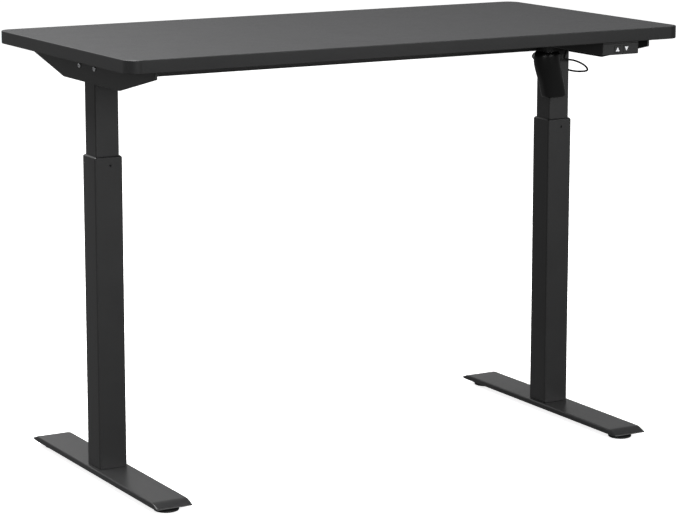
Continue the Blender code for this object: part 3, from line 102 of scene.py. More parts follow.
def rounded_plan(corners, radius, steps=COARSE_STEPS):
    """A function that gives the rounded outline any distance inside the corners."""

    def plan(inset):
        return round_corners(inset_polygon(corners, inset), max(radius - inset, LEAST_RADIUS), steps)

    return plan


def on_axis(axis, point, along):
    """A point from two coordinates across an axis and one along it, in X, Y, Z order across."""
    if axis == "x":
        return (along, point[0], point[1])
    if axis == "y":
        return (point[0], along, point[1])
    return (point[0], point[1], along)


def skin(rings, closed=False):
    """One body through rings of equally many points: a tube wall that meets itself, or a capped solid."""
    data = bmesh.new()
    loops = [[data.verts.new(point) for point in ring] for ring in rings]
    pairs = list(zip(loops, loops[1:]))
    if closed:
        pairs.append((loops[-1], loops[0]))
    count = len(loops[0])
    for lower, upper in pairs:
        for index in range(count):
            after = (index + 1) % count
            data.faces.new((lower[index], lower[after], upper[after], upper[index]))
    if not closed:
        data.faces.new(loops[0][::-1])
        data.faces.new(loops[-1])
    bmesh.ops.recalc_face_normals(data, faces=data.faces)
    return data


def stack(plan, levels, axis="z", closed=False):
    """A body through the plan's outlines at (inset, height) levels along an axis."""
    return skin([[on_axis(axis, point, height) for point in plan(inset)] for inset, height in levels], closed)


def solid_levels(low, high, low_round, high_round=None, steps=3):
    """Levels of a solid whose two end faces have rounded edges."""
    high_round = low_round if high_round is None else high_round
    levels = []
    for step in range(steps + 1):
        angle = math.pi / 2 * step / steps
        levels.append((low_round * (1 - math.sin(angle)), low + low_round * (1 - math.cos(angle))))
    for step in range(steps + 1):
        angle = math.pi / 2 * step / steps
        levels.append((high_round * (1 - math.cos(angle)), high - high_round * (1 - math.sin(angle))))
    return levels


def tube_levels(low, high, wall, rim):
    """Levels of an open tube's wall with rounded rims, for a closed stack."""
    outer = [(rim, low), (rim * 0.3, low + rim * 0.3), (0, low + rim)]
    outer += [(0, high - rim), (rim * 0.3, high - rim * 0.3), (rim, high)]
    return outer + [(wall - rim * 0.3, high), (wall, high - rim), (wall, low + rim), (wall - rim * 0.3, low)]


def turned(profile, origin, direction, steps=ROUND_STEPS):
    """A body of revolution from a profile of (distance along the direction, radius)."""
    spin = Vector((0, 0, 1)).rotation_difference(Vector(direction)).to_matrix().to_4x4()
    place = Matrix.Translation(origin) @ spin
    rings = []
    for along, radius in profile:
        turns = [2 * math.pi * (step + 0.5) / steps for step in range(steps)]
        circle = [Vector((radius * math.cos(turn), radius * math.sin(turn), along)) for turn in turns]
        rings.append([place @ point for point in circle])
    return skin(rings)


def drill(radius, depth, origin, direction=(0, 0, 1), steps=32):
    """A plain cylinder that cuts a round hole."""
    return turned(((0, radius), (depth, radius)), origin, direction, steps)


def temporary(data):
    mesh = bpy.data.meshes.new("temporary")
    data.to_mesh(mesh)
    data.free()
    made = bpy.data.objects.new("temporary", mesh)
    bpy.context.scene.collection.objects.link(made)
    return made


def carve(data, tools, operation="DIFFERENCE"):
    """The body with the tools' shapes cut out of it, or joined to it."""
    target = temporary(data)
    cutters = [temporary(tool) for tool in tools]
    for cutter in cutters:
        modifier = target.modifiers.new("carve", "BOOLEAN")
        modifier.operation = operation
        modifier.object = cutter
        modifier.solver = "EXACT"
    carved = bmesh.new()
    carved.from_object(target, bpy.context.evaluated_depsgraph_get())
    for item in [target, *cutters]:
        mesh = item.data
        bpy.data.objects.remove(item)
        bpy.data.meshes.remove(mesh)
    bmesh.ops.dissolve_degenerate(carved, edges=carved.edges, dist=1e-6)
    return carved


def finish(name, data, material, body, replaces=()):
    """Makes the piece from its bmesh, shades it, and hangs it on its body."""
    bmesh.ops.recalc_face_normals(data, faces=data.faces)
    mesh = bpy.data.meshes.new(name)
    data.to_mesh(mesh)
    data.free()
    mesh.materials.append(material)
    mesh.shade_smooth()
    mesh.set_sharp_from_angle(angle=SHARP_ANGLE)
    made = bpy.data.objects.new(name, mesh)
    bpy.context.scene.collection.objects.link(made)
    weighted = made.modifiers.new("weighted_normals", "WEIGHTED_NORMAL")
    weighted.keep_sharp = True
    return hang(made, body, replaces)


def hang(piece, body, replaces=()):
    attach(piece, body)
    if replaces:
        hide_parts(*([replaces] if isinstance(replaces, str) else replaces))
    return piece


# ================================================================ materials
def add(tree, kind, inputs=None, **settings):
    """A shader node with its settings and its inputs, each a value or another node's output."""
    made = tree.nodes.new("ShaderNode" + kind)
    for key, value in settings.items():
        setattr(made, key, value)
    for key, value in (inputs or {}).items():
        if isinstance(value, bpy.types.NodeSocket):
            tree.links.new(value, made.inputs[key])
        else:
            made.inputs[key].default_value = value
    return made


def new_material(name, metallic=0.0):
    material = bpy.data.materials.new(name)
    material.use_nodes = True
    tree = material.node_tree
    shader = tree.nodes["Principled BSDF"]
    shader.inputs["Metallic"].default_value = metallic
    return material, tree, shader


def spread(tree, value, low, high):
    """Maps a 0 to 1 value to a range, mostly from its middle."""
    limits = {"Value": value, "From Min": 0.3, "From Max": 0.7, "To Min": low, "To Max": high}
    made = add(tree, "MapRange", limits)
    return made.outputs["Result"]


def two_tone(tree, value, dark, light):
    ramp = add(tree, "ValToRGB", {"Fac": value})
    ramp.color_ramp.elements[0].position = 0.3
    ramp.color_ramp.elements[0].color = (*dark, 1)
    ramp.color_ramp.elements[1].position = 0.7
    ramp.color_ramp.elements[1].color = (*light, 1)
    return ramp.outputs["Color"]


def grey(value, tint=0.02):
    return (value * (1 - tint / 2), value, value * (1 + tint))


def surface(name, shade, contrast, roughness, grain, relief, metallic=0.0, patch=9.0, stretch=None, worn=None,
            pebbles=False, specular=0.5):
    """A moulded, coated or machined surface, varied in colour and gloss, with a fine relief."""
    material, tree, shader = new_material(name, metallic)
    space = add(tree, "TexCoord").outputs["Object"]
    if stretch:
        space = add(tree, "Mapping", {"Vector": space, "Scale": stretch}).outputs["Vector"]
    patches = add(tree, "TexNoise", {"Vector": space, "Scale": patch, "Detail": 5.0, "Roughness": 0.6})
    broad = patches.outputs["Fac"]
    if pebbles:
        cells = add(
            tree, "TexVoronoi", {"Vector": space, "Scale": grain, "Smoothness": 0.6}, feature="SMOOTH_F1",
        )
        fine = cells.outputs["Distance"]
    else:
        fine = add(tree, "TexNoise", {"Vector": space, "Scale": grain, "Detail": 3.0}).outputs["Fac"]
    mixed = add(tree, "Math", {0: broad, 1: fine}, operation="ADD").outputs["Value"]
    mean = add(tree, "Math", {0: mixed, 1: 0.5}, operation="MULTIPLY").outputs["Value"]
    colour = two_tone(tree, mean, grey(shade * (1 - contrast)), grey(shade * (1 + contrast)))
    gloss = spread(tree, mean, roughness * 0.9, roughness * 1.1)
    if worn:
        edge = edge_mask(tree, worn[0])
        rubbed = add(tree, "MixRGB", {"Fac": edge, "Color1": colour, "Color2": (*grey(worn[1]), 1)})
        colour = rubbed.outputs["Color"]
    tree.links.new(colour, shader.inputs["Base Color"])
    tree.links.new(gloss, shader.inputs["Roughness"])
    shader.inputs["Specular IOR Level"].default_value = specular
    bump = add(tree, "Bump", {"Strength": 1.0, "Distance": relief, "Height": fine})
    tree.links.new(bump.outputs["Normal"], shader.inputs["Normal"])
    return material


def edge_mask(tree, radius):
    """Near 1 along convex edges, where handling rubs a coating."""
    bevel = add(tree, "Bevel", {"Radius": radius}, samples=4).outputs["Normal"]
    flat = add(tree, "NewGeometry").outputs["Normal"]
    same = add(tree, "VectorMath", {0: bevel, 1: flat}, operation="DOT_PRODUCT").outputs["Value"]
    rubbed = add(tree, "MapRange", {"Value": same, "From Min": 0.995, "From Max": 0.8, "To Max": 0.6})
    return rubbed.outputs["Result"]


def make_materials():
    return {
        "laminate": surface("laminate", 0.022, 0.10, 0.52, 900.0, 0.00006, patch=14.0, pebbles=True,
                            specular=0.15),
        "edge_band": surface("edge_band", 0.015, 0.08, 0.36, 1400.0, 0.00002, specular=0.3),
        "powder_coat": surface("powder_coat", 0.018, 0.14, 0.42, 1500.0, 0.00005, worn=(0.0009, 0.035)),
        "foot_coat": surface("foot_coat", 0.017, 0.14, 0.33, 1500.0, 0.00003, worn=(0.0009, 0.035)),
        "motor_plastic": surface("motor_plastic", 0.006, 0.10, 0.30, 2600.0, 0.00002, worn=(0.0015, 0.016),
                                 specular=0.3),
        "case_plastic": surface("case_plastic", 0.007, 0.16, 0.48, 1200.0, 0.00004, stretch=(1, 1, 0.4)),
        "control_plastic": surface("control_plastic", 0.014, 0.10, 0.46, 2400.0, 0.00003, worn=(0.0007, 0.02),
                                   specular=0.4),
        "collar_plastic": surface("collar_plastic", 0.016, 0.10, 0.32, 1800.0, 0.00001, specular=0.45),
        "liner_plastic": surface("liner_plastic", 0.30, 0.06, 0.45, 1500.0, 0.00002),
        "zinc": surface("zinc", 0.85, 0.08, 0.38, 700.0, 0.00001, metallic=1.0, patch=160.0),
        "steel": surface("steel", 0.42, 0.12, 0.30, 350.0, 0.00001, metallic=1.0,
                         patch=40.0, stretch=(1, 1, 9)),
        "shaft_steel": surface("shaft_steel", 0.45, 0.12, 0.28, 350.0, 0.00001, metallic=1.0,
                               stretch=(0.1, 5, 5)),
        "can_steel": surface("can_steel", 0.50, 0.08, 0.35, 300.0, 0.00001, metallic=1.0,
                             stretch=(1, 1, 12)),
        "black_screw": surface("black_screw", 0.020, 0.12, 0.35, 2000.0, 0.00001, metallic=0.6),
        "rubber": surface("rubber", 0.014, 0.20, 0.72, 1600.0, 0.00005, patch=60.0),
        "cable": surface("cable", 0.004, 0.12, 0.55, 2200.0, 0.00002, specular=0.2),
        "print": surface("print", 0.86, 0.02, 0.55, 3000.0, 0.00001),
        "circuit": circuit_material(),
        "floor": floor_material(),
    }


def circuit_material():
    """A green circuit board with copper tracks under its lacquer."""
    material, tree, shader = new_material("circuit")
    space = add(tree, "TexCoord").outputs["Object"]
    bricks = add(tree, "TexBrick", {
        "Vector": space, "Scale": 90.0, "Mortar Size": 0.03,
        "Color1": (0, 0, 0, 1), "Color2": (0.2, 0.2, 0.2, 1), "Mortar": (1, 1, 1, 1),
    })
    tracks = bricks.outputs["Color"]
    colour = add(tree, "MixRGB", {
        "Fac": tracks, "Color1": (0.010, 0.075, 0.028, 1), "Color2": (0.05, 0.16, 0.05, 1),
    })
    tree.links.new(colour.outputs["Color"], shader.inputs["Base Color"])
    gloss = add(tree, "TexNoise", {"Vector": space, "Scale": 300.0}).outputs["Fac"]
    tree.links.new(spread(tree, gloss, 0.25, 0.4), shader.inputs["Roughness"])
    bump = add(tree, "Bump", {"Distance": 0.00003, "Height": tracks})
    tree.links.new(bump.outputs["Normal"], shader.inputs["Normal"])
    return material


def floor_material():
    """A plain white floor, partly lit from within so that shadows on it stay faint."""
    material, _, shader = new_material("floor")
    shader.inputs["Base Color"].default_value = (0.8, 0.8, 0.8, 1)
    shader.inputs["Roughness"].default_value = 0.9
    shader.inputs["Specular IOR Level"].default_value = 0.0
    shader.inputs["Emission Color"].default_value = (1, 1, 1, 1)
    shader.inputs["Emission Strength"].default_value = FLOOR_GLOW
    return material


FLOOR_GLOW = 0.86


# ================================================================ camera and motor cable
def make_camera():
    data = bpy.data.cameras.new("camera")
    data.lens = CAMERA_LENS
    data.shift_x, data.shift_y = CAMERA_SHIFT
    data.clip_end = 200.0
    camera = bpy.data.objects.new("camera", data)
    camera.location = CAMERA_PLACE
    camera.rotation_euler = (CAMERA_TILT, 0.0, CAMERA_TURN)
    bpy.context.scene.collection.objects.link(camera)
    bpy.context.scene.camera = camera


CABLE_DIAMETER = 0.004
CABLE_STEPS = 4
CABLE_ROUTE = (
    (0.4930, -0.0953, 0.8110),
    (0.4932, -0.0900, 0.8109),
    (0.4955, -0.0800, 0.8080),
    (0.5005, -0.0680, 0.7970),
    (0.5050, -0.0560, 0.7815),
    (0.5100, -0.0420, 0.7690),
    (0.5190, -0.0290, 0.7620),
    (0.5335, -0.0220, 0.7577),
    (0.5480, -0.0208, 0.7550),
    (0.5626, -0.0190, 0.7502),
    (0.5759, -0.0170, 0.7440),
    (0.5860, -0.0142, 0.7372),
    (0.5918, -0.0090, 0.7305),
    (0.5900, -0.0010, 0.7275),
    (0.5830, 0.0110, 0.7262),
    (0.5770, 0.0240, 0.7265),
    (0.5700, 0.0370, 0.7285),
    (0.5580, 0.0480, 0.7320),
    (0.5420, 0.0545, 0.7370),
    (0.5240, 0.0560, 0.7430),
    (0.5060, 0.0530, 0.7500),
    (0.4917, 0.0474, 0.7575),
    (0.4849, 0.0362, 0.7650),
    (0.4844, 0.0255, 0.7710),
    (0.4842, 0.0206, 0.7758),
    (0.4842, 0.0203, 0.7785),
    (0.4842, 0.0203, 0.7806),
)


def smooth_route(points, steps):
    """Points on a Catmull-Rom curve through the route's own points."""
    route = [Vector(point) for point in points]
    padded = [route[0] * 2 - route[1], *route, route[-1] * 2 - route[-2]]
    smooth = []
    for a, b, c, d in zip(padded, padded[1:], padded[2:], padded[3:]):
        for step in range(steps):
            t = step / steps
            straight = 2 * b + (c - a) * t
            bend = (2 * a - 5 * b + 4 * c - d) * t**2 + (3 * b - a - 3 * c + d) * t**3
            smooth.append((straight + bend) / 2)
    return smooth + [route[-1]]


def make_cable(materials):
    curve = bpy.data.curves.new("motor_lead", "CURVE")
    curve.dimensions = "3D"
    curve.bevel_depth = CABLE_DIAMETER / 2
    curve.bevel_resolution = 4
    curve.use_fill_caps = True
    points = smooth_route(CABLE_ROUTE, CABLE_STEPS)
    spline = curve.splines.new("POLY")
    spline.points.add(len(points) - 1)
    for place, point in zip(spline.points, points):
        place.co = (*point, 1.0)
    spline.use_smooth = True
    curve.materials.append(materials["cable"])
    cable = bpy.data.objects.new("motor_lead", curve)
    bpy.context.scene.collection.objects.link(cable)
    hang(cable, "lift", "motor_cable")
    relief = make_strain_relief(materials)


def make_strain_relief(materials):
    """A tapered bush with bending ribs where the lead leaves the controller."""
    low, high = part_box("cable_strain_relief")
    centre_x = (low.x + high.x) / 2
    centre_z = (low.z + high.z) / 2
    flange_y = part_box("controller_tray")[1].y + 0.0003
    neck = 0.0030
    wide = (high.x - low.x) / 2
    tip = 0.0026
    profile = [(0, neck), (flange_y - low.y, neck), (flange_y - low.y, wide - 0.0004),
               (flange_y - low.y + 0.0004, wide), (flange_y - low.y + 0.0022, wide),
               (flange_y - low.y + 0.0028, wide - 0.0006)]
    ribs = 4
    start = flange_y - low.y + 0.0028
    pitch = (high.y - low.y - start) / ribs
    for rib in range(ribs):
        along = start + rib * pitch
        radius = wide - 0.0006 + (tip - wide + 0.0006) * rib / (ribs - 1)
        groove = radius - 0.0007
        profile += [(along + 0.0001, groove), (along + pitch * 0.35, groove), (along + pitch * 0.45, radius),
                    (along + pitch * 0.95, radius)]
    profile[-1] = (high.y - low.y, tip - 0.0003)
    data = turned(profile, (centre_x, low.y, centre_z), (0, 1, 0), 24)
    return finish("lead_strain_relief", data, materials["rubber"], "lift",
                  "cable_strain_relief")


# ================================================================ desktop
BAND_THICKNESS = 0.002
BAND_ARRIS = 0.0014
BAND_SEAM = 0.00012
BOARD_CORNER = 0.028


def make_desktop(materials):
    """A laminated board inside an edge band, with a hairline seam between them."""
    low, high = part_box("desktop")
    plan = rounded_plan(rectangle(low, high), BOARD_CORNER, 16)
    band = [(BAND_THICKNESS, low.z), (BAND_THICKNESS, high.z - 0.0001), (BAND_THICKNESS - 0.0001, high.z)]
    for step in range(5):
        angle = math.pi / 2 * step / 4
        band.append((BAND_ARRIS * (1 - math.sin(angle)), high.z - BAND_ARRIS * (1 - math.cos(angle))))
    for step in range(5):
        angle = math.pi / 2 * step / 4
        band.append((BAND_ARRIS * (1 - math.cos(angle)), low.z + BAND_ARRIS * (1 - math.sin(angle))))
    finish("desktop_edge_band", stack(plan, band, closed=True), materials["edge_band"], "lift")
    inset = BAND_THICKNESS + BAND_SEAM
    levels = [(inset + a, b) for a, b in solid_levels(low.z, high.z, 0.0002, steps=2)]
    board = stack(plan, levels)
    holes = []
    for side in SIDES:
        for end in ENDS:
            screw_low, screw_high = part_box(f"desktop_screw_{side}_{end}")
            centre = (screw_low + screw_high) / 2
            holes.append(drill(0.0026, 0.021, (centre.x, centre.y, low.z - 0.002), steps=24))
    board = carve(board, holes)
    finish("desktop_board", board, materials["laminate"], "lift", "desktop")


# ================================================================ side brackets, rails and their fasteners
BRACKET_SHEET = 0.0025
BRACKET_BEND = 0.0014
BRACKET_LIP = 0.0050
BRACKET_CORNER = 0.0020
BRACKET_FLAT_HALF = 0.1255
BRACKET_END_HEIGHT = 0.0147
RAIL_WALL = 0.002
SPARE_HOLES = (-0.150, -0.075, 0.115, 0.175)


def centre_of(node):
    low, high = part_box(node)
    return (low + high) / 2


def make_bracket(side, sign, materials):
    """A pressed plate with a narrow bent lip all round and a wide flange under the board."""
    low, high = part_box(f"side_bracket_{side}")
    web = high.x if sign > 0 else low.x
    rim = low.x if sign > 0 else high.x
    lip = web - sign * BRACKET_LIP
    half = high.y
    end_low = high.z - BRACKET_END_HEIGHT
    corners = [Vector(point) for point in (
        (-BRACKET_FLAT_HALF, low.z), (BRACKET_FLAT_HALF, low.z), (half, end_low), (half, high.z),
        (-half, high.z), (-half, end_low),
    )]
    plan = rounded_plan(corners, BRACKET_CORNER, 4)
    inside = web - sign * BRACKET_SHEET
    levels = []
    for step in range(5):
        angle = math.pi / 2 * step / 4
        along = web - sign * BRACKET_BEND * (1 - math.cos(angle))
        levels.append((BRACKET_BEND * (1 - math.sin(angle)), along))
    edge = 0.0003
    levels += [(0, lip + sign * edge), (edge, lip)]
    levels += [(BRACKET_SHEET - edge, lip), (BRACKET_SHEET, lip + sign * edge)]
    levels += [(BRACKET_SHEET, inside - sign * 0.0010), (BRACKET_SHEET + 0.0003, inside - sign * 0.0003),
               (BRACKET_SHEET + 0.0010, inside)]
    flange_x = sorted((inside - sign * 0.0004, rim))
    flange_end = half - 0.0008
    flange_plan = rounded_plan(rectangle((flange_x[0], -flange_end), (flange_x[1], flange_end)), 0.0030, 5)
    flange_low = high.z - BRACKET_SHEET + 0.0001
    flange = stack(flange_plan, solid_levels(flange_low, high.z - 0.0001, 0.0003, steps=2))
    data = carve(stack(plan, levels, "x"), [flange], "UNION")
    tube_low, tube_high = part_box(f"inner_tube_{side}")
    gap = 0.0012
    notch_x = sorted((inside, rim - sign * 0.01))
    notch = stack(
        rounded_plan(rectangle((notch_x[0], tube_low.y - gap), (notch_x[1], tube_high.y + gap)), 0.001, 3),
        ((0, low.z - 0.01), (0, low.z + BRACKET_SHEET + 0.0015)),
    )
    tools = [notch]
    for end in ENDS:
        bolt = centre_of(f"bracket_bolt_{side}_{end}")
        tools.append(drill(0.0034, 0.012, (web + sign * 0.004, bolt.y, bolt.z), (-sign, 0, 0)))
        screw = centre_of(f"desktop_screw_{side}_{end}")
        tools.append(drill(0.0026, 0.012, (screw.x, screw.y, high.z - 0.008), steps=24))
    front_screw = centre_of(f"desktop_screw_{side}_front")
    for spare_y in SPARE_HOLES:
        tools.append(drill(0.0030, 0.012, (front_screw.x, spare_y, high.z - 0.008), steps=24))
    data = carve(data, tools)
    finish(f"bracket_{side}_channel", data, materials["powder_coat"], "lift",
           f"side_bracket_{side}")


def make_rail(name, materials):
    """A box rail with a row of rounded slots through both of its tall sides."""
    low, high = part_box(name)
    plan = rounded_plan(rectangle((low.y, low.z), (high.y, high.z)), 0.0025, 4)
    rail = stack(plan, tube_levels(low.x, high.x, RAIL_WALL, 0.0005), "x", closed=True)
    slots = []
    count = 6
    pitch = (high.x - low.x - 0.032) / count
    for index in range(count):
        centre = low.x + 0.016 + pitch * (index + 0.5)
        outline = rounded_plan(rectangle((centre - 0.020, (low.z + high.z) / 2 - 0.006),
                                         (centre + 0.020, (low.z + high.z) / 2 + 0.006)), 0.0059, 6)
        slots.append(stack(outline, ((0, low.y - 0.01), (0, high.y + 0.01)), "y"))
    finish(name + "_tube", carve(rail, slots), materials["powder_coat"], "lift",
           name)


def hex_socket(origin, direction, across, depth):
    return turned(((-0.001, across / math.sqrt(3)), (depth, across / math.sqrt(3))), origin, direction, 6)


def make_cap_screw(name, node, direction, head_radius, head_height, shank_radius, socket, materials, material,
                   body):
    """A round-headed screw with a hexagon socket, from the far side of its head to the end of its thread."""
    low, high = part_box(node)
    centre = (low + high) / 2
    axis = Vector(direction)
    length = abs((high - low).dot(axis))
    start = centre - axis * length / 2
    thread = shank_radius * 0.86
    profile = [(0.0, head_radius * 0.60), (0.0004, head_radius * 0.82), (0.0011, head_radius * 0.97),
               (0.0018, head_radius), (head_height, head_radius), (head_height, shank_radius)]
    along = head_height + 0.001
    while along < length - 0.0016:
        profile += [(along, shank_radius), (along + 0.0004, thread), (along + 0.0006, thread)]
        profile.append((along + 0.001, shank_radius))
        along += 0.001
    profile += [(length - 0.0008, shank_radius), (length, thread)]
    data = carve(turned(profile, start, axis, 32), [hex_socket(start, axis, socket, head_height * 0.62)])
    finish(name, data, materials[material], body, node)


def make_frame(materials):
    for side, sign in SIDES.items():
        make_bracket(side, sign, materials)
        for end in ENDS:
            make_cap_screw(f"{side}_{end}_frame_bolt", f"bracket_bolt_{side}_{end}", (-sign, 0, 0),
                           0.0050, 0.0026, 0.003, 0.004, materials, "zinc", "lift")
            make_cap_screw(f"{side}_{end}_board_screw", f"desktop_screw_{side}_{end}", (0, 0, 1),
                           0.0048, 0.0030, 0.0022, 0.0035, materials, "zinc", "lift")
    make_rail("front_rail", materials)
    make_rail("rear_rail", materials)


# ================================================================ columns
TUBE_RADIUS = 0.0042
OUTER_WALL = 0.0016
INNER_WALL = 0.0015
INNER_RADIUS = 0.0034


def make_column(side, materials):
    """The outer and inner tubes of one column, with the guide between them."""
    low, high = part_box(f"outer_tube_{side}")
    plan = rounded_plan(rectangle(low, high), TUBE_RADIUS, 6)
    tube = stack(plan, tube_levels(low.z, high.z, OUTER_WALL, 0.0005), closed=True)
    screw = centre_of(f"collar_screw_{side}")
    hole = drill(0.0026, 0.006, (screw.x, low.y - 0.002, screw.z), (0, 1, 0))
    plate = stack(rounded_plan(rectangle(low, high), TUBE_RADIUS, 6), [(OUTER_WALL * 0.8 + a, b) for a, b in (
        (0, low.z), (0, low.z + 0.008))])
    tube = carve(carve(tube, [plate], "UNION"), [hole])
    finish(f"column_{side}_outer_tube", tube, materials["powder_coat"], "base",
           f"outer_tube_{side}")
    make_collar(side, low, high, screw, materials)
    inner_low, inner_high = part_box(f"inner_tube_{side}")
    inner = stack(
        rounded_plan(rectangle(inner_low, inner_high), INNER_RADIUS, 6),
        tube_levels(inner_low.z, inner_high.z, INNER_WALL, 0.0005), closed=True,
    )
    finish(f"column_{side}_inner_tube", inner, materials["powder_coat"], "lift",
           f"inner_tube_{side}")


def make_collar(side, tube_low, tube_high, screw, materials):
    """The plastic guide in the mouth of the outer tube, with a bevel up to the inner tube."""
    low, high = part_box(f"top_collar_{side}")
    plan = rounded_plan(rectangle(tube_low, tube_high), TUBE_RADIUS, 6)
    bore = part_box(f"inner_tube_{side}")[0].x - tube_low.x - 0.0003
    body = OUTER_WALL + 0.0003
    seat = tube_high.z + 0.0003
    levels = [(body, low.z), (body, seat - 0.0002), (0.0006, seat), (0.0004, seat + 0.0002),
              (0.0004, seat + 0.0006), (0.0006, seat + 0.0010), (bore - 0.0012, high.z - 0.0003),
              (bore - 0.0008, high.z), (bore - 0.0002, high.z), (bore, high.z - 0.0002), (bore, low.z)]
    data = stack(plan, levels, closed=True)
    hole = drill(0.0024, 0.006, (screw.x, tube_low.y - 0.002, screw.z), (0, 1, 0))
    finish(f"column_{side}_guide_collar", carve(data, [hole]), materials["collar_plastic"], "base",
           f"top_collar_{side}")


# ================================================================ feet and levellers
FOOT_SLOPE_RUN = 0.0195
FOOT_SLOPE_DROP = 0.0072
FOOT_BEND = 0.0026
FOOT_SHEET = 0.0022
FOOT_CORNER = 0.0014
FOOT_LIP = 0.010


def make_foot(side, materials):
    """A pressed steel foot: flat top, a bent nose at each end, and flanges that stop short of the tips."""
    low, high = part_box(f"foot_{side}")
    centre_y = (low.y + high.y) / 2
    tip = (high.y - low.y) / 2
    flat = tip - FOOT_SLOPE_RUN
    corner = rounded_plan(rectangle(low, high), FOOT_CORNER, 5)

    def top_at(y):
        beyond = abs(y - centre_y) - flat
        bend = 0.007
        slope = FOOT_SLOPE_DROP / FOOT_SLOPE_RUN
        if beyond < -bend:
            return high.z
        if beyond < bend:
            return high.z - slope * (beyond + bend) ** 2 / (4 * bend)
        return high.z - slope * beyond

    def flange_at(y):
        beyond = max(abs(y - centre_y) - (tip - FOOT_LIP), 0.0) / FOOT_LIP
        return low.z + (top_at(y) - FOOT_SHEET - low.z) * min(beyond * 1.6, 1.0) ** 2

    bends = [-0.007, -0.0045, -0.0022, 0.0, 0.0022, 0.0045, 0.007]
    stations = [-tip + FOOT_LIP, *(-flat + y for y in bends), -0.15, 0.0, 0.15, *(flat + y for y in bends),
                tip - FOOT_LIP]

    def ring(inset, drop, follow_top=True):
        """The plan at an inset, with more points along its long sides, at a drop from the top or flange."""
        outline = corner(inset)
        quarter = len(outline) // 4
        quarters = [outline[i * quarter:(i + 1) * quarter] for i in range(4)]
        bottom_left, bottom_right, top_right, top_left = quarters
        right = [Vector((bottom_right[-1].x, centre_y + y)) for y in stations]
        left = [Vector((top_left[-1].x, centre_y + y)) for y in reversed(stations)]
        points = bottom_left + bottom_right + right + top_right + top_left + left
        if follow_top:
            return [(p.x, p.y, top_at(p.y) - drop) for p in points]
        return [(p.x, p.y, max(flange_at(p.y), low.z) + drop) for p in points]

    rings = [ring(0.0004, 0.0, False), ring(0, 0.0004, False), ring(0, FOOT_BEND)]
    for step in range(1, 6):
        angle = math.pi / 2 * step / 5
        rings.append(ring(FOOT_BEND * (1 - math.cos(angle)), FOOT_BEND * (1 - math.sin(angle))))
    inner = [ring(FOOT_SHEET + 0.0012, FOOT_SHEET), ring(FOOT_SHEET, FOOT_SHEET + 0.0012),
             ring(FOOT_SHEET, 0.0002, False), ring(FOOT_SHEET - 0.0004, 0.0, False)]
    data = bmesh.new()
    loops = [[data.verts.new(point) for point in one] for one in rings]
    inner_loops = [[data.verts.new(point) for point in one] for one in inner]
    count = len(loops[0])
    for group in (loops, inner_loops, [inner_loops[-1], loops[0]]):
        for lower, upper in zip(group, group[1:]):
            for index in range(count):
                after = (index + 1) % count
                data.faces.new((lower[index], lower[after], upper[after], upper[index]))
    for loop in (loops[-1], inner_loops[0]):
        cap_foot(data, loop, len(stations), COARSE_STEPS + 1)
    bores = []
    for end in ENDS:
        bolt = centre_of(f"foot_bolt_{side}_{end}")
        bores.append(drill(0.0044, 0.02, (bolt.x, bolt.y, low.z)))
    data = carve(data, bores)
    finish(f"foot_{side}_pressing", data, materials["foot_coat"], "base",
           f"foot_{side}")
    for end in ENDS:
        make_leveller(side, end, low, high, materials)


def cap_foot(data, loop, stations, quarter):
    """Closes the top or the inside of the foot with strips between its two long sides."""
    right = loop[2 * quarter:2 * quarter + stations]
    left = loop[4 * quarter + stations:][::-1]
    for index in range(stations - 1):
        data.faces.new((right[index], right[index + 1], left[index + 1], left[index]))
    data.faces.new([left[0]] + loop[:2 * quarter] + [right[0]])
    data.faces.new([right[-1]] + loop[2 * quarter + stations:4 * quarter + stations] + [left[-1]])


def make_leveller(side, end, foot_low, foot_high, materials):
    """A rubber-footed pad on a threaded stud, and the welded nut that it screws into."""
    node = f"leveller_{side}_{end}"
    low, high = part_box(node)
    centre = (low + high) / 2
    radius = (high.x - low.x) / 2
    profile = [
        (0, radius - 0.0032), (0.0002, radius - 0.0022), (0.0008, radius - 0.0008), (0.0018, radius - 0.0001),
        (0.0030, radius), (0.0040, radius - 0.0002), (0.0048, radius - 0.0009), (0.0054, radius - 0.0022),
        (0.0059, radius - 0.0050), (0.0063, 0.0100), (0.0066, 0.0090), (0.0092, 0.0080),
        (0.0097, 0.0070), (0.0098, 0.0040),
    ]
    along = 0.0100
    while along < high.z - 0.0014:
        profile += [(along, 0.0040), (along + 0.0006, 0.0034), (along + 0.00125, 0.0040)]
        along += 0.00125
    profile += [(high.z - 0.0004, 0.0036), (high.z, 0.0030)]
    pad = turned(profile, (centre.x, centre.y, 0), (0, 0, 1), 64)
    finish(f"{node}_pad", pad, materials["rubber"], node, node)
    across = 0.0146
    nut_low = foot_low.z + 0.0011
    nut_high = foot_high.z - FOOT_SHEET - 0.0001
    turns = [math.pi / 3 * corner for corner in range(6)]
    hexagon = [Vector((math.cos(turn), math.sin(turn))) * across / math.sqrt(3) + centre.xy for turn in turns]
    nut = stack(rounded_plan(hexagon, 0.0006, 3), solid_levels(nut_low, nut_high, 0.0006))
    bore = drill(0.0044, 0.03, (centre.x, centre.y, nut_low - 0.005))
    finish(f"foot_{side}_{end}_weld_nut", carve(nut, [bore]), materials["zinc"], "base")


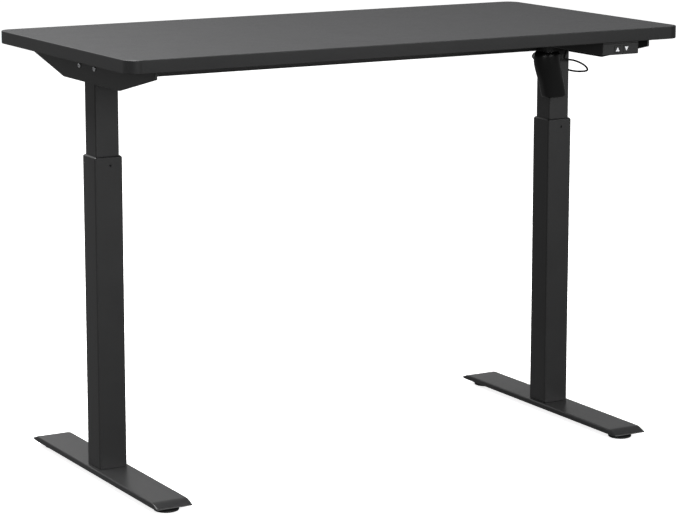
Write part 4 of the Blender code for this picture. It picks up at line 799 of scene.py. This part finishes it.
def make_base(materials):
    for side in SIDES:
        make_foot(side, materials)
        make_column(side, materials)
        for end in ENDS:
            make_cap_screw(f"{side}_{end}_foot_bolt", f"foot_bolt_{side}_{end}", (0, 0, 1), 0.0070, 0.0050,
                           0.004, 0.006, materials, "black_screw", "base")
        low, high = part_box(f"collar_screw_{side}")
        centre = (low + high) / 2
        radius = (high.x - low.x) / 2
        origin = (centre.x, low.y + 0.0006, centre.z)
        profile = ((0, radius * 0.8), (0.0003, radius), (high.y - low.y, radius))
        head = turned(profile, origin, (0, 1, 0), 32)
        head = carve(head, [hex_socket(origin, (0, 1, 0), radius * 1.1, 0.0014)])
        finish(f"column_{side}_grub_screw", head, materials["black_screw"], "base",
               f"collar_screw_{side}")


# ================================================================ motor cover
# Each row of the cover, from the bottom up: drop below the gear case, centre X and Y from the motor's axis,
# half width, half depth, and squareness of the ellipse.
COVER_SECTIONS = (
    (0.0970, 0.0194, 0.0060, 0.0226, 0.0140, 3.2),
    (0.0940, 0.0188, 0.0058, 0.0252, 0.0166, 3.2),
    (0.0830, 0.0160, 0.0045, 0.0260, 0.0178, 3.0),
    (0.0670, 0.0110, 0.0028, 0.0264, 0.0194, 2.7),
    (0.0490, 0.0045, 0.0012, 0.0276, 0.0208, 2.4),
    (0.0290, -0.0012, 0.0002, 0.0289, 0.0220, 2.2),
    (0.0130, -0.0034, 0.0000, 0.0293, 0.0226, 2.0),
    (0.0060, -0.0031, 0.0000, 0.0287, 0.0222, 2.0),
    (0.0020, -0.0028, 0.0000, 0.0264, 0.0210, 2.0),
    (0.0005, -0.0020, 0.0000, 0.0238, 0.0196, 2.0),
)
COVER_STEPS = 4
COVER_WALL = 0.002


def cover_ring(section, wall, axis, case_bottom):
    drop, centre_x, centre_y, half_width, half_depth, squareness = section
    ring = []
    for step in range(ROUND_STEPS):
        angle = 2 * math.pi * (step + 0.5) / ROUND_STEPS
        cosine, sine = math.cos(angle), math.sin(angle)
        x = (half_width - wall) * math.copysign(abs(cosine) ** (2 / squareness), cosine)
        y = (half_depth - wall) * math.copysign(abs(sine) ** (2 / squareness), sine)
        ring.append((axis.x + centre_x + x, axis.y + centre_y + y, case_bottom - drop))
    return ring


def between(sections, steps):
    """The sections with others between them, on a smooth curve through each column of the table."""
    padded = [sections[0], *sections, sections[-1]]
    smooth = []
    for before, first, last, after in zip(padded, padded[1:], padded[2:], padded[3:]):
        for step in range(steps):
            t = step / steps
            row = []
            for a, b, c, d in zip(before, first, last, after):
                bend = (2 * a - 5 * b + 4 * c - d) * t**2 + (3 * b - a - 3 * c + d) * t**3
                row.append((2 * b + (c - a) * t + bend) / 2)
            smooth.append(row)
    return smooth + [sections[-1]]


def make_motor_cover(materials):
    """A smooth moulded cup that hangs from the gear case and leans along the column."""
    axis = centre_of("motor_can")
    case_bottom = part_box("front_rail")[0].z
    outer = [cover_ring(section, 0, axis, case_bottom) for section in between(COVER_SECTIONS, COVER_STEPS)]
    inner = [cover_ring(section, COVER_WALL, axis, case_bottom) for section in COVER_SECTIONS[2:]]
    floor = case_bottom - COVER_SECTIONS[1][0]
    lowest = cover_ring(COVER_SECTIONS[1], COVER_WALL * 1.5, axis, case_bottom)
    inner.insert(0, [(x, y, floor) for x, y, _ in lowest])
    data = skin(outer + inner[::-1])
    finish("motor_housing", data, materials["motor_plastic"], "lift", "motor_cover")


# ================================================================ controller and buttons
ARROW_HALF = 0.0045
ARROW_HEIGHT = 0.0086
PRINT_PROUD = 0.00012


def make_controller(materials):
    low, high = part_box("controller_tray")
    lid_low, lid_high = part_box("controller_lid")
    plan = rounded_plan(rectangle(low, high), 0.0028, 5)
    wall = 0.002
    levels = solid_levels(low.z, high.z, 0.0016, 0.0003, 3)[:4]
    levels += [(0, high.z - 0.0003), (0.0003, high.z), (wall - 0.0003, high.z), (wall, high.z - 0.0003),
               (wall, low.z + wall + 0.001), (wall + 0.001, low.z + wall)]
    tools = []
    for name in ("raise_button", "lower_button"):
        button_low, button_high = button_face(name)
        opening = rectangle((button_low.x, button_low.z), (button_high.x, button_high.z))
        levels_through = ((-0.0003, low.y - 0.01), (-0.0003, low.y + 0.004))
        tools.append(stack(rounded_plan(opening, 0.002, 5), levels_through, "y"))
    inlet_low, inlet_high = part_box("mains_inlet")
    margin = 0.0009
    window = rectangle((inlet_low.x + margin, inlet_low.z + margin),
                       (inlet_high.x - margin, inlet_high.z - margin))
    levels_through = ((0, high.y - 0.004), (0, high.y + 0.01))
    tools.append(stack(rounded_plan(window, 0.001, 3), levels_through, "y"))
    relief = centre_of("cable_strain_relief")
    tools.append(drill(0.0033, 0.01, (relief.x, high.y - 0.005, relief.z), (0, 1, 0), 24))
    data = carve(stack(plan, levels), tools)
    finish("controller_case", data, materials["control_plastic"], "lift",
           "controller_tray")
    lid = stack(plan, solid_levels(lid_low.z, lid_high.z, 0.0004, 0.0004, 2))
    finish("controller_cover", lid, materials["control_plastic"], "lift",
           "controller_lid")
    make_buttons(materials)


def button_face(name):
    """The button's cap, without the lip that keeps it in the case."""
    low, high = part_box(name)
    lip = Vector((0.0012, 0, 0.0012))
    return low + lip, high - lip


def make_buttons(materials):
    for name, points_up in (("raise_button", True), ("lower_button", False)):
        low, high = button_face(name)
        plan = rounded_plan(rectangle((low.x, low.z), (high.x, high.z)), 0.002, 5)
        levels = solid_levels(low.y, high.y, 0.0006, 0.0002, 3)
        cap = stack(plan, levels, "y")
        lip_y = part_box("controller_tray")[0].y + 0.0023
        lip = stack(plan, ((-0.0012, lip_y), (-0.0012, lip_y + 0.0012)), "y")
        finish(f"{name}_cap", carve(cap, [lip], "UNION"), materials["control_plastic"], name,
               name)
        centre = (low + high) / 2
        sign = 1 if points_up else -1
        tall = ARROW_HEIGHT / 2 * sign
        corners = [Vector((centre.x - ARROW_HALF * sign, centre.z - tall)),
                   Vector((centre.x + ARROW_HALF * sign, centre.z - tall)),
                   Vector((centre.x, centre.z + tall))]
        depth = ((0, low.y - PRINT_PROUD), (0, low.y + 0.0003))
        arrow = stack(rounded_plan(corners, 0.0003, 3), depth, "y")
        finish(f"{name}_arrow", arrow, materials["print"], name)


# ================================================================ carried-over nodes
def dress_nodes(materials):
    """The working parts keep their own shapes and take a finish each."""
    finishes = {
        "lower_glide": "liner_plastic", "spindle_nut": "liner_plastic", "nut_tube": "steel",
        "spindle": "steel", "spindle_gear": "steel", "shaft_gear": "steel",
        "gear_case": "case_plastic", "gear_case_lid": "case_plastic",
    }
    chosen = {f"{node}_{side}": finish_name for node, finish_name in finishes.items() for side in SIDES}
    chosen |= {
        "drive_shaft": "shaft_steel", "idler_gear": "steel", "motor_rotor": "steel",
        "motor_can": "can_steel", "mains_inlet": "control_plastic", "controller_board": "circuit",
    }
    for node, finish_name in chosen.items():
        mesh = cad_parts[node].data
        mesh.materials.clear()
        mesh.materials.append(materials[finish_name])


# ================================================================ studio
WORLD_LIGHT = 0.19
FLOOR_RADIUS = 60.0
FLOOR_DROP = 0.0005


def area_light(name, place, aim, size, power, seen=True):
    data = bpy.data.lights.new(name, "AREA")
    data.shape = "RECTANGLE"
    data.size, data.size_y = size
    data.energy = power
    light = bpy.data.objects.new(name, data)
    light.location = place
    light.rotation_euler = (Vector(aim) - Vector(place)).to_track_quat("-Z", "Y").to_euler()
    light.visible_camera = seen
    bpy.context.scene.collection.objects.link(light)


def make_studio(materials):
    data = bmesh.new()
    bmesh.ops.create_circle(data, cap_ends=True, radius=FLOOR_RADIUS, segments=96)
    mesh = bpy.data.meshes.new("floor")
    data.to_mesh(mesh)
    data.free()
    mesh.materials.append(materials["floor"])
    floor = bpy.data.objects.new("floor", mesh)
    floor.location.z = -FLOOR_DROP
    floor.visible_diffuse = False
    floor.visible_glossy = False
    bpy.context.scene.collection.objects.link(floor)
    world = bpy.data.worlds.new("studio")
    world.use_nodes = True
    world.node_tree.nodes["Background"].inputs["Color"].default_value = (1, 1, 1, 1)
    world.node_tree.nodes["Background"].inputs["Strength"].default_value = WORLD_LIGHT
    bpy.context.scene.world = world
    bpy.context.scene.view_settings.view_transform = "Standard"
    centre = (0, 0, 0.5)
    area_light("camera_softbox", (-1.8, -4.6, 2.2), centre, (2.0, 2.0), 82)
    area_light("front_softbox", (2.6, -4.6, 2.0), centre, (2.4, 1.8), 90)
    area_light("top_softbox", (-1.0, 0, 3.4), centre, (3.0, 2.0), 355)
    area_light("rear_softbox", (-0.5, 4.0, 2.8), (0, 0, 0.8), (4.0, 1.6), 20)
    area_light("side_softbox", (-4.6, 5.2, 2.4), centre, (2.5, 2.0), 22)
    area_light("horizon_softbox", (2.6, 6.0, 0.9), (0, 0, 0.1), (7.0, 1.8), 20, seen=False)


def main():
    make_camera()
    materials = make_materials()
    make_cable(materials)
    make_desktop(materials)
    make_frame(materials)
    make_base(materials)
    make_motor_cover(materials)
    make_controller(materials)
    dress_nodes(materials)
    make_studio(materials)


main()
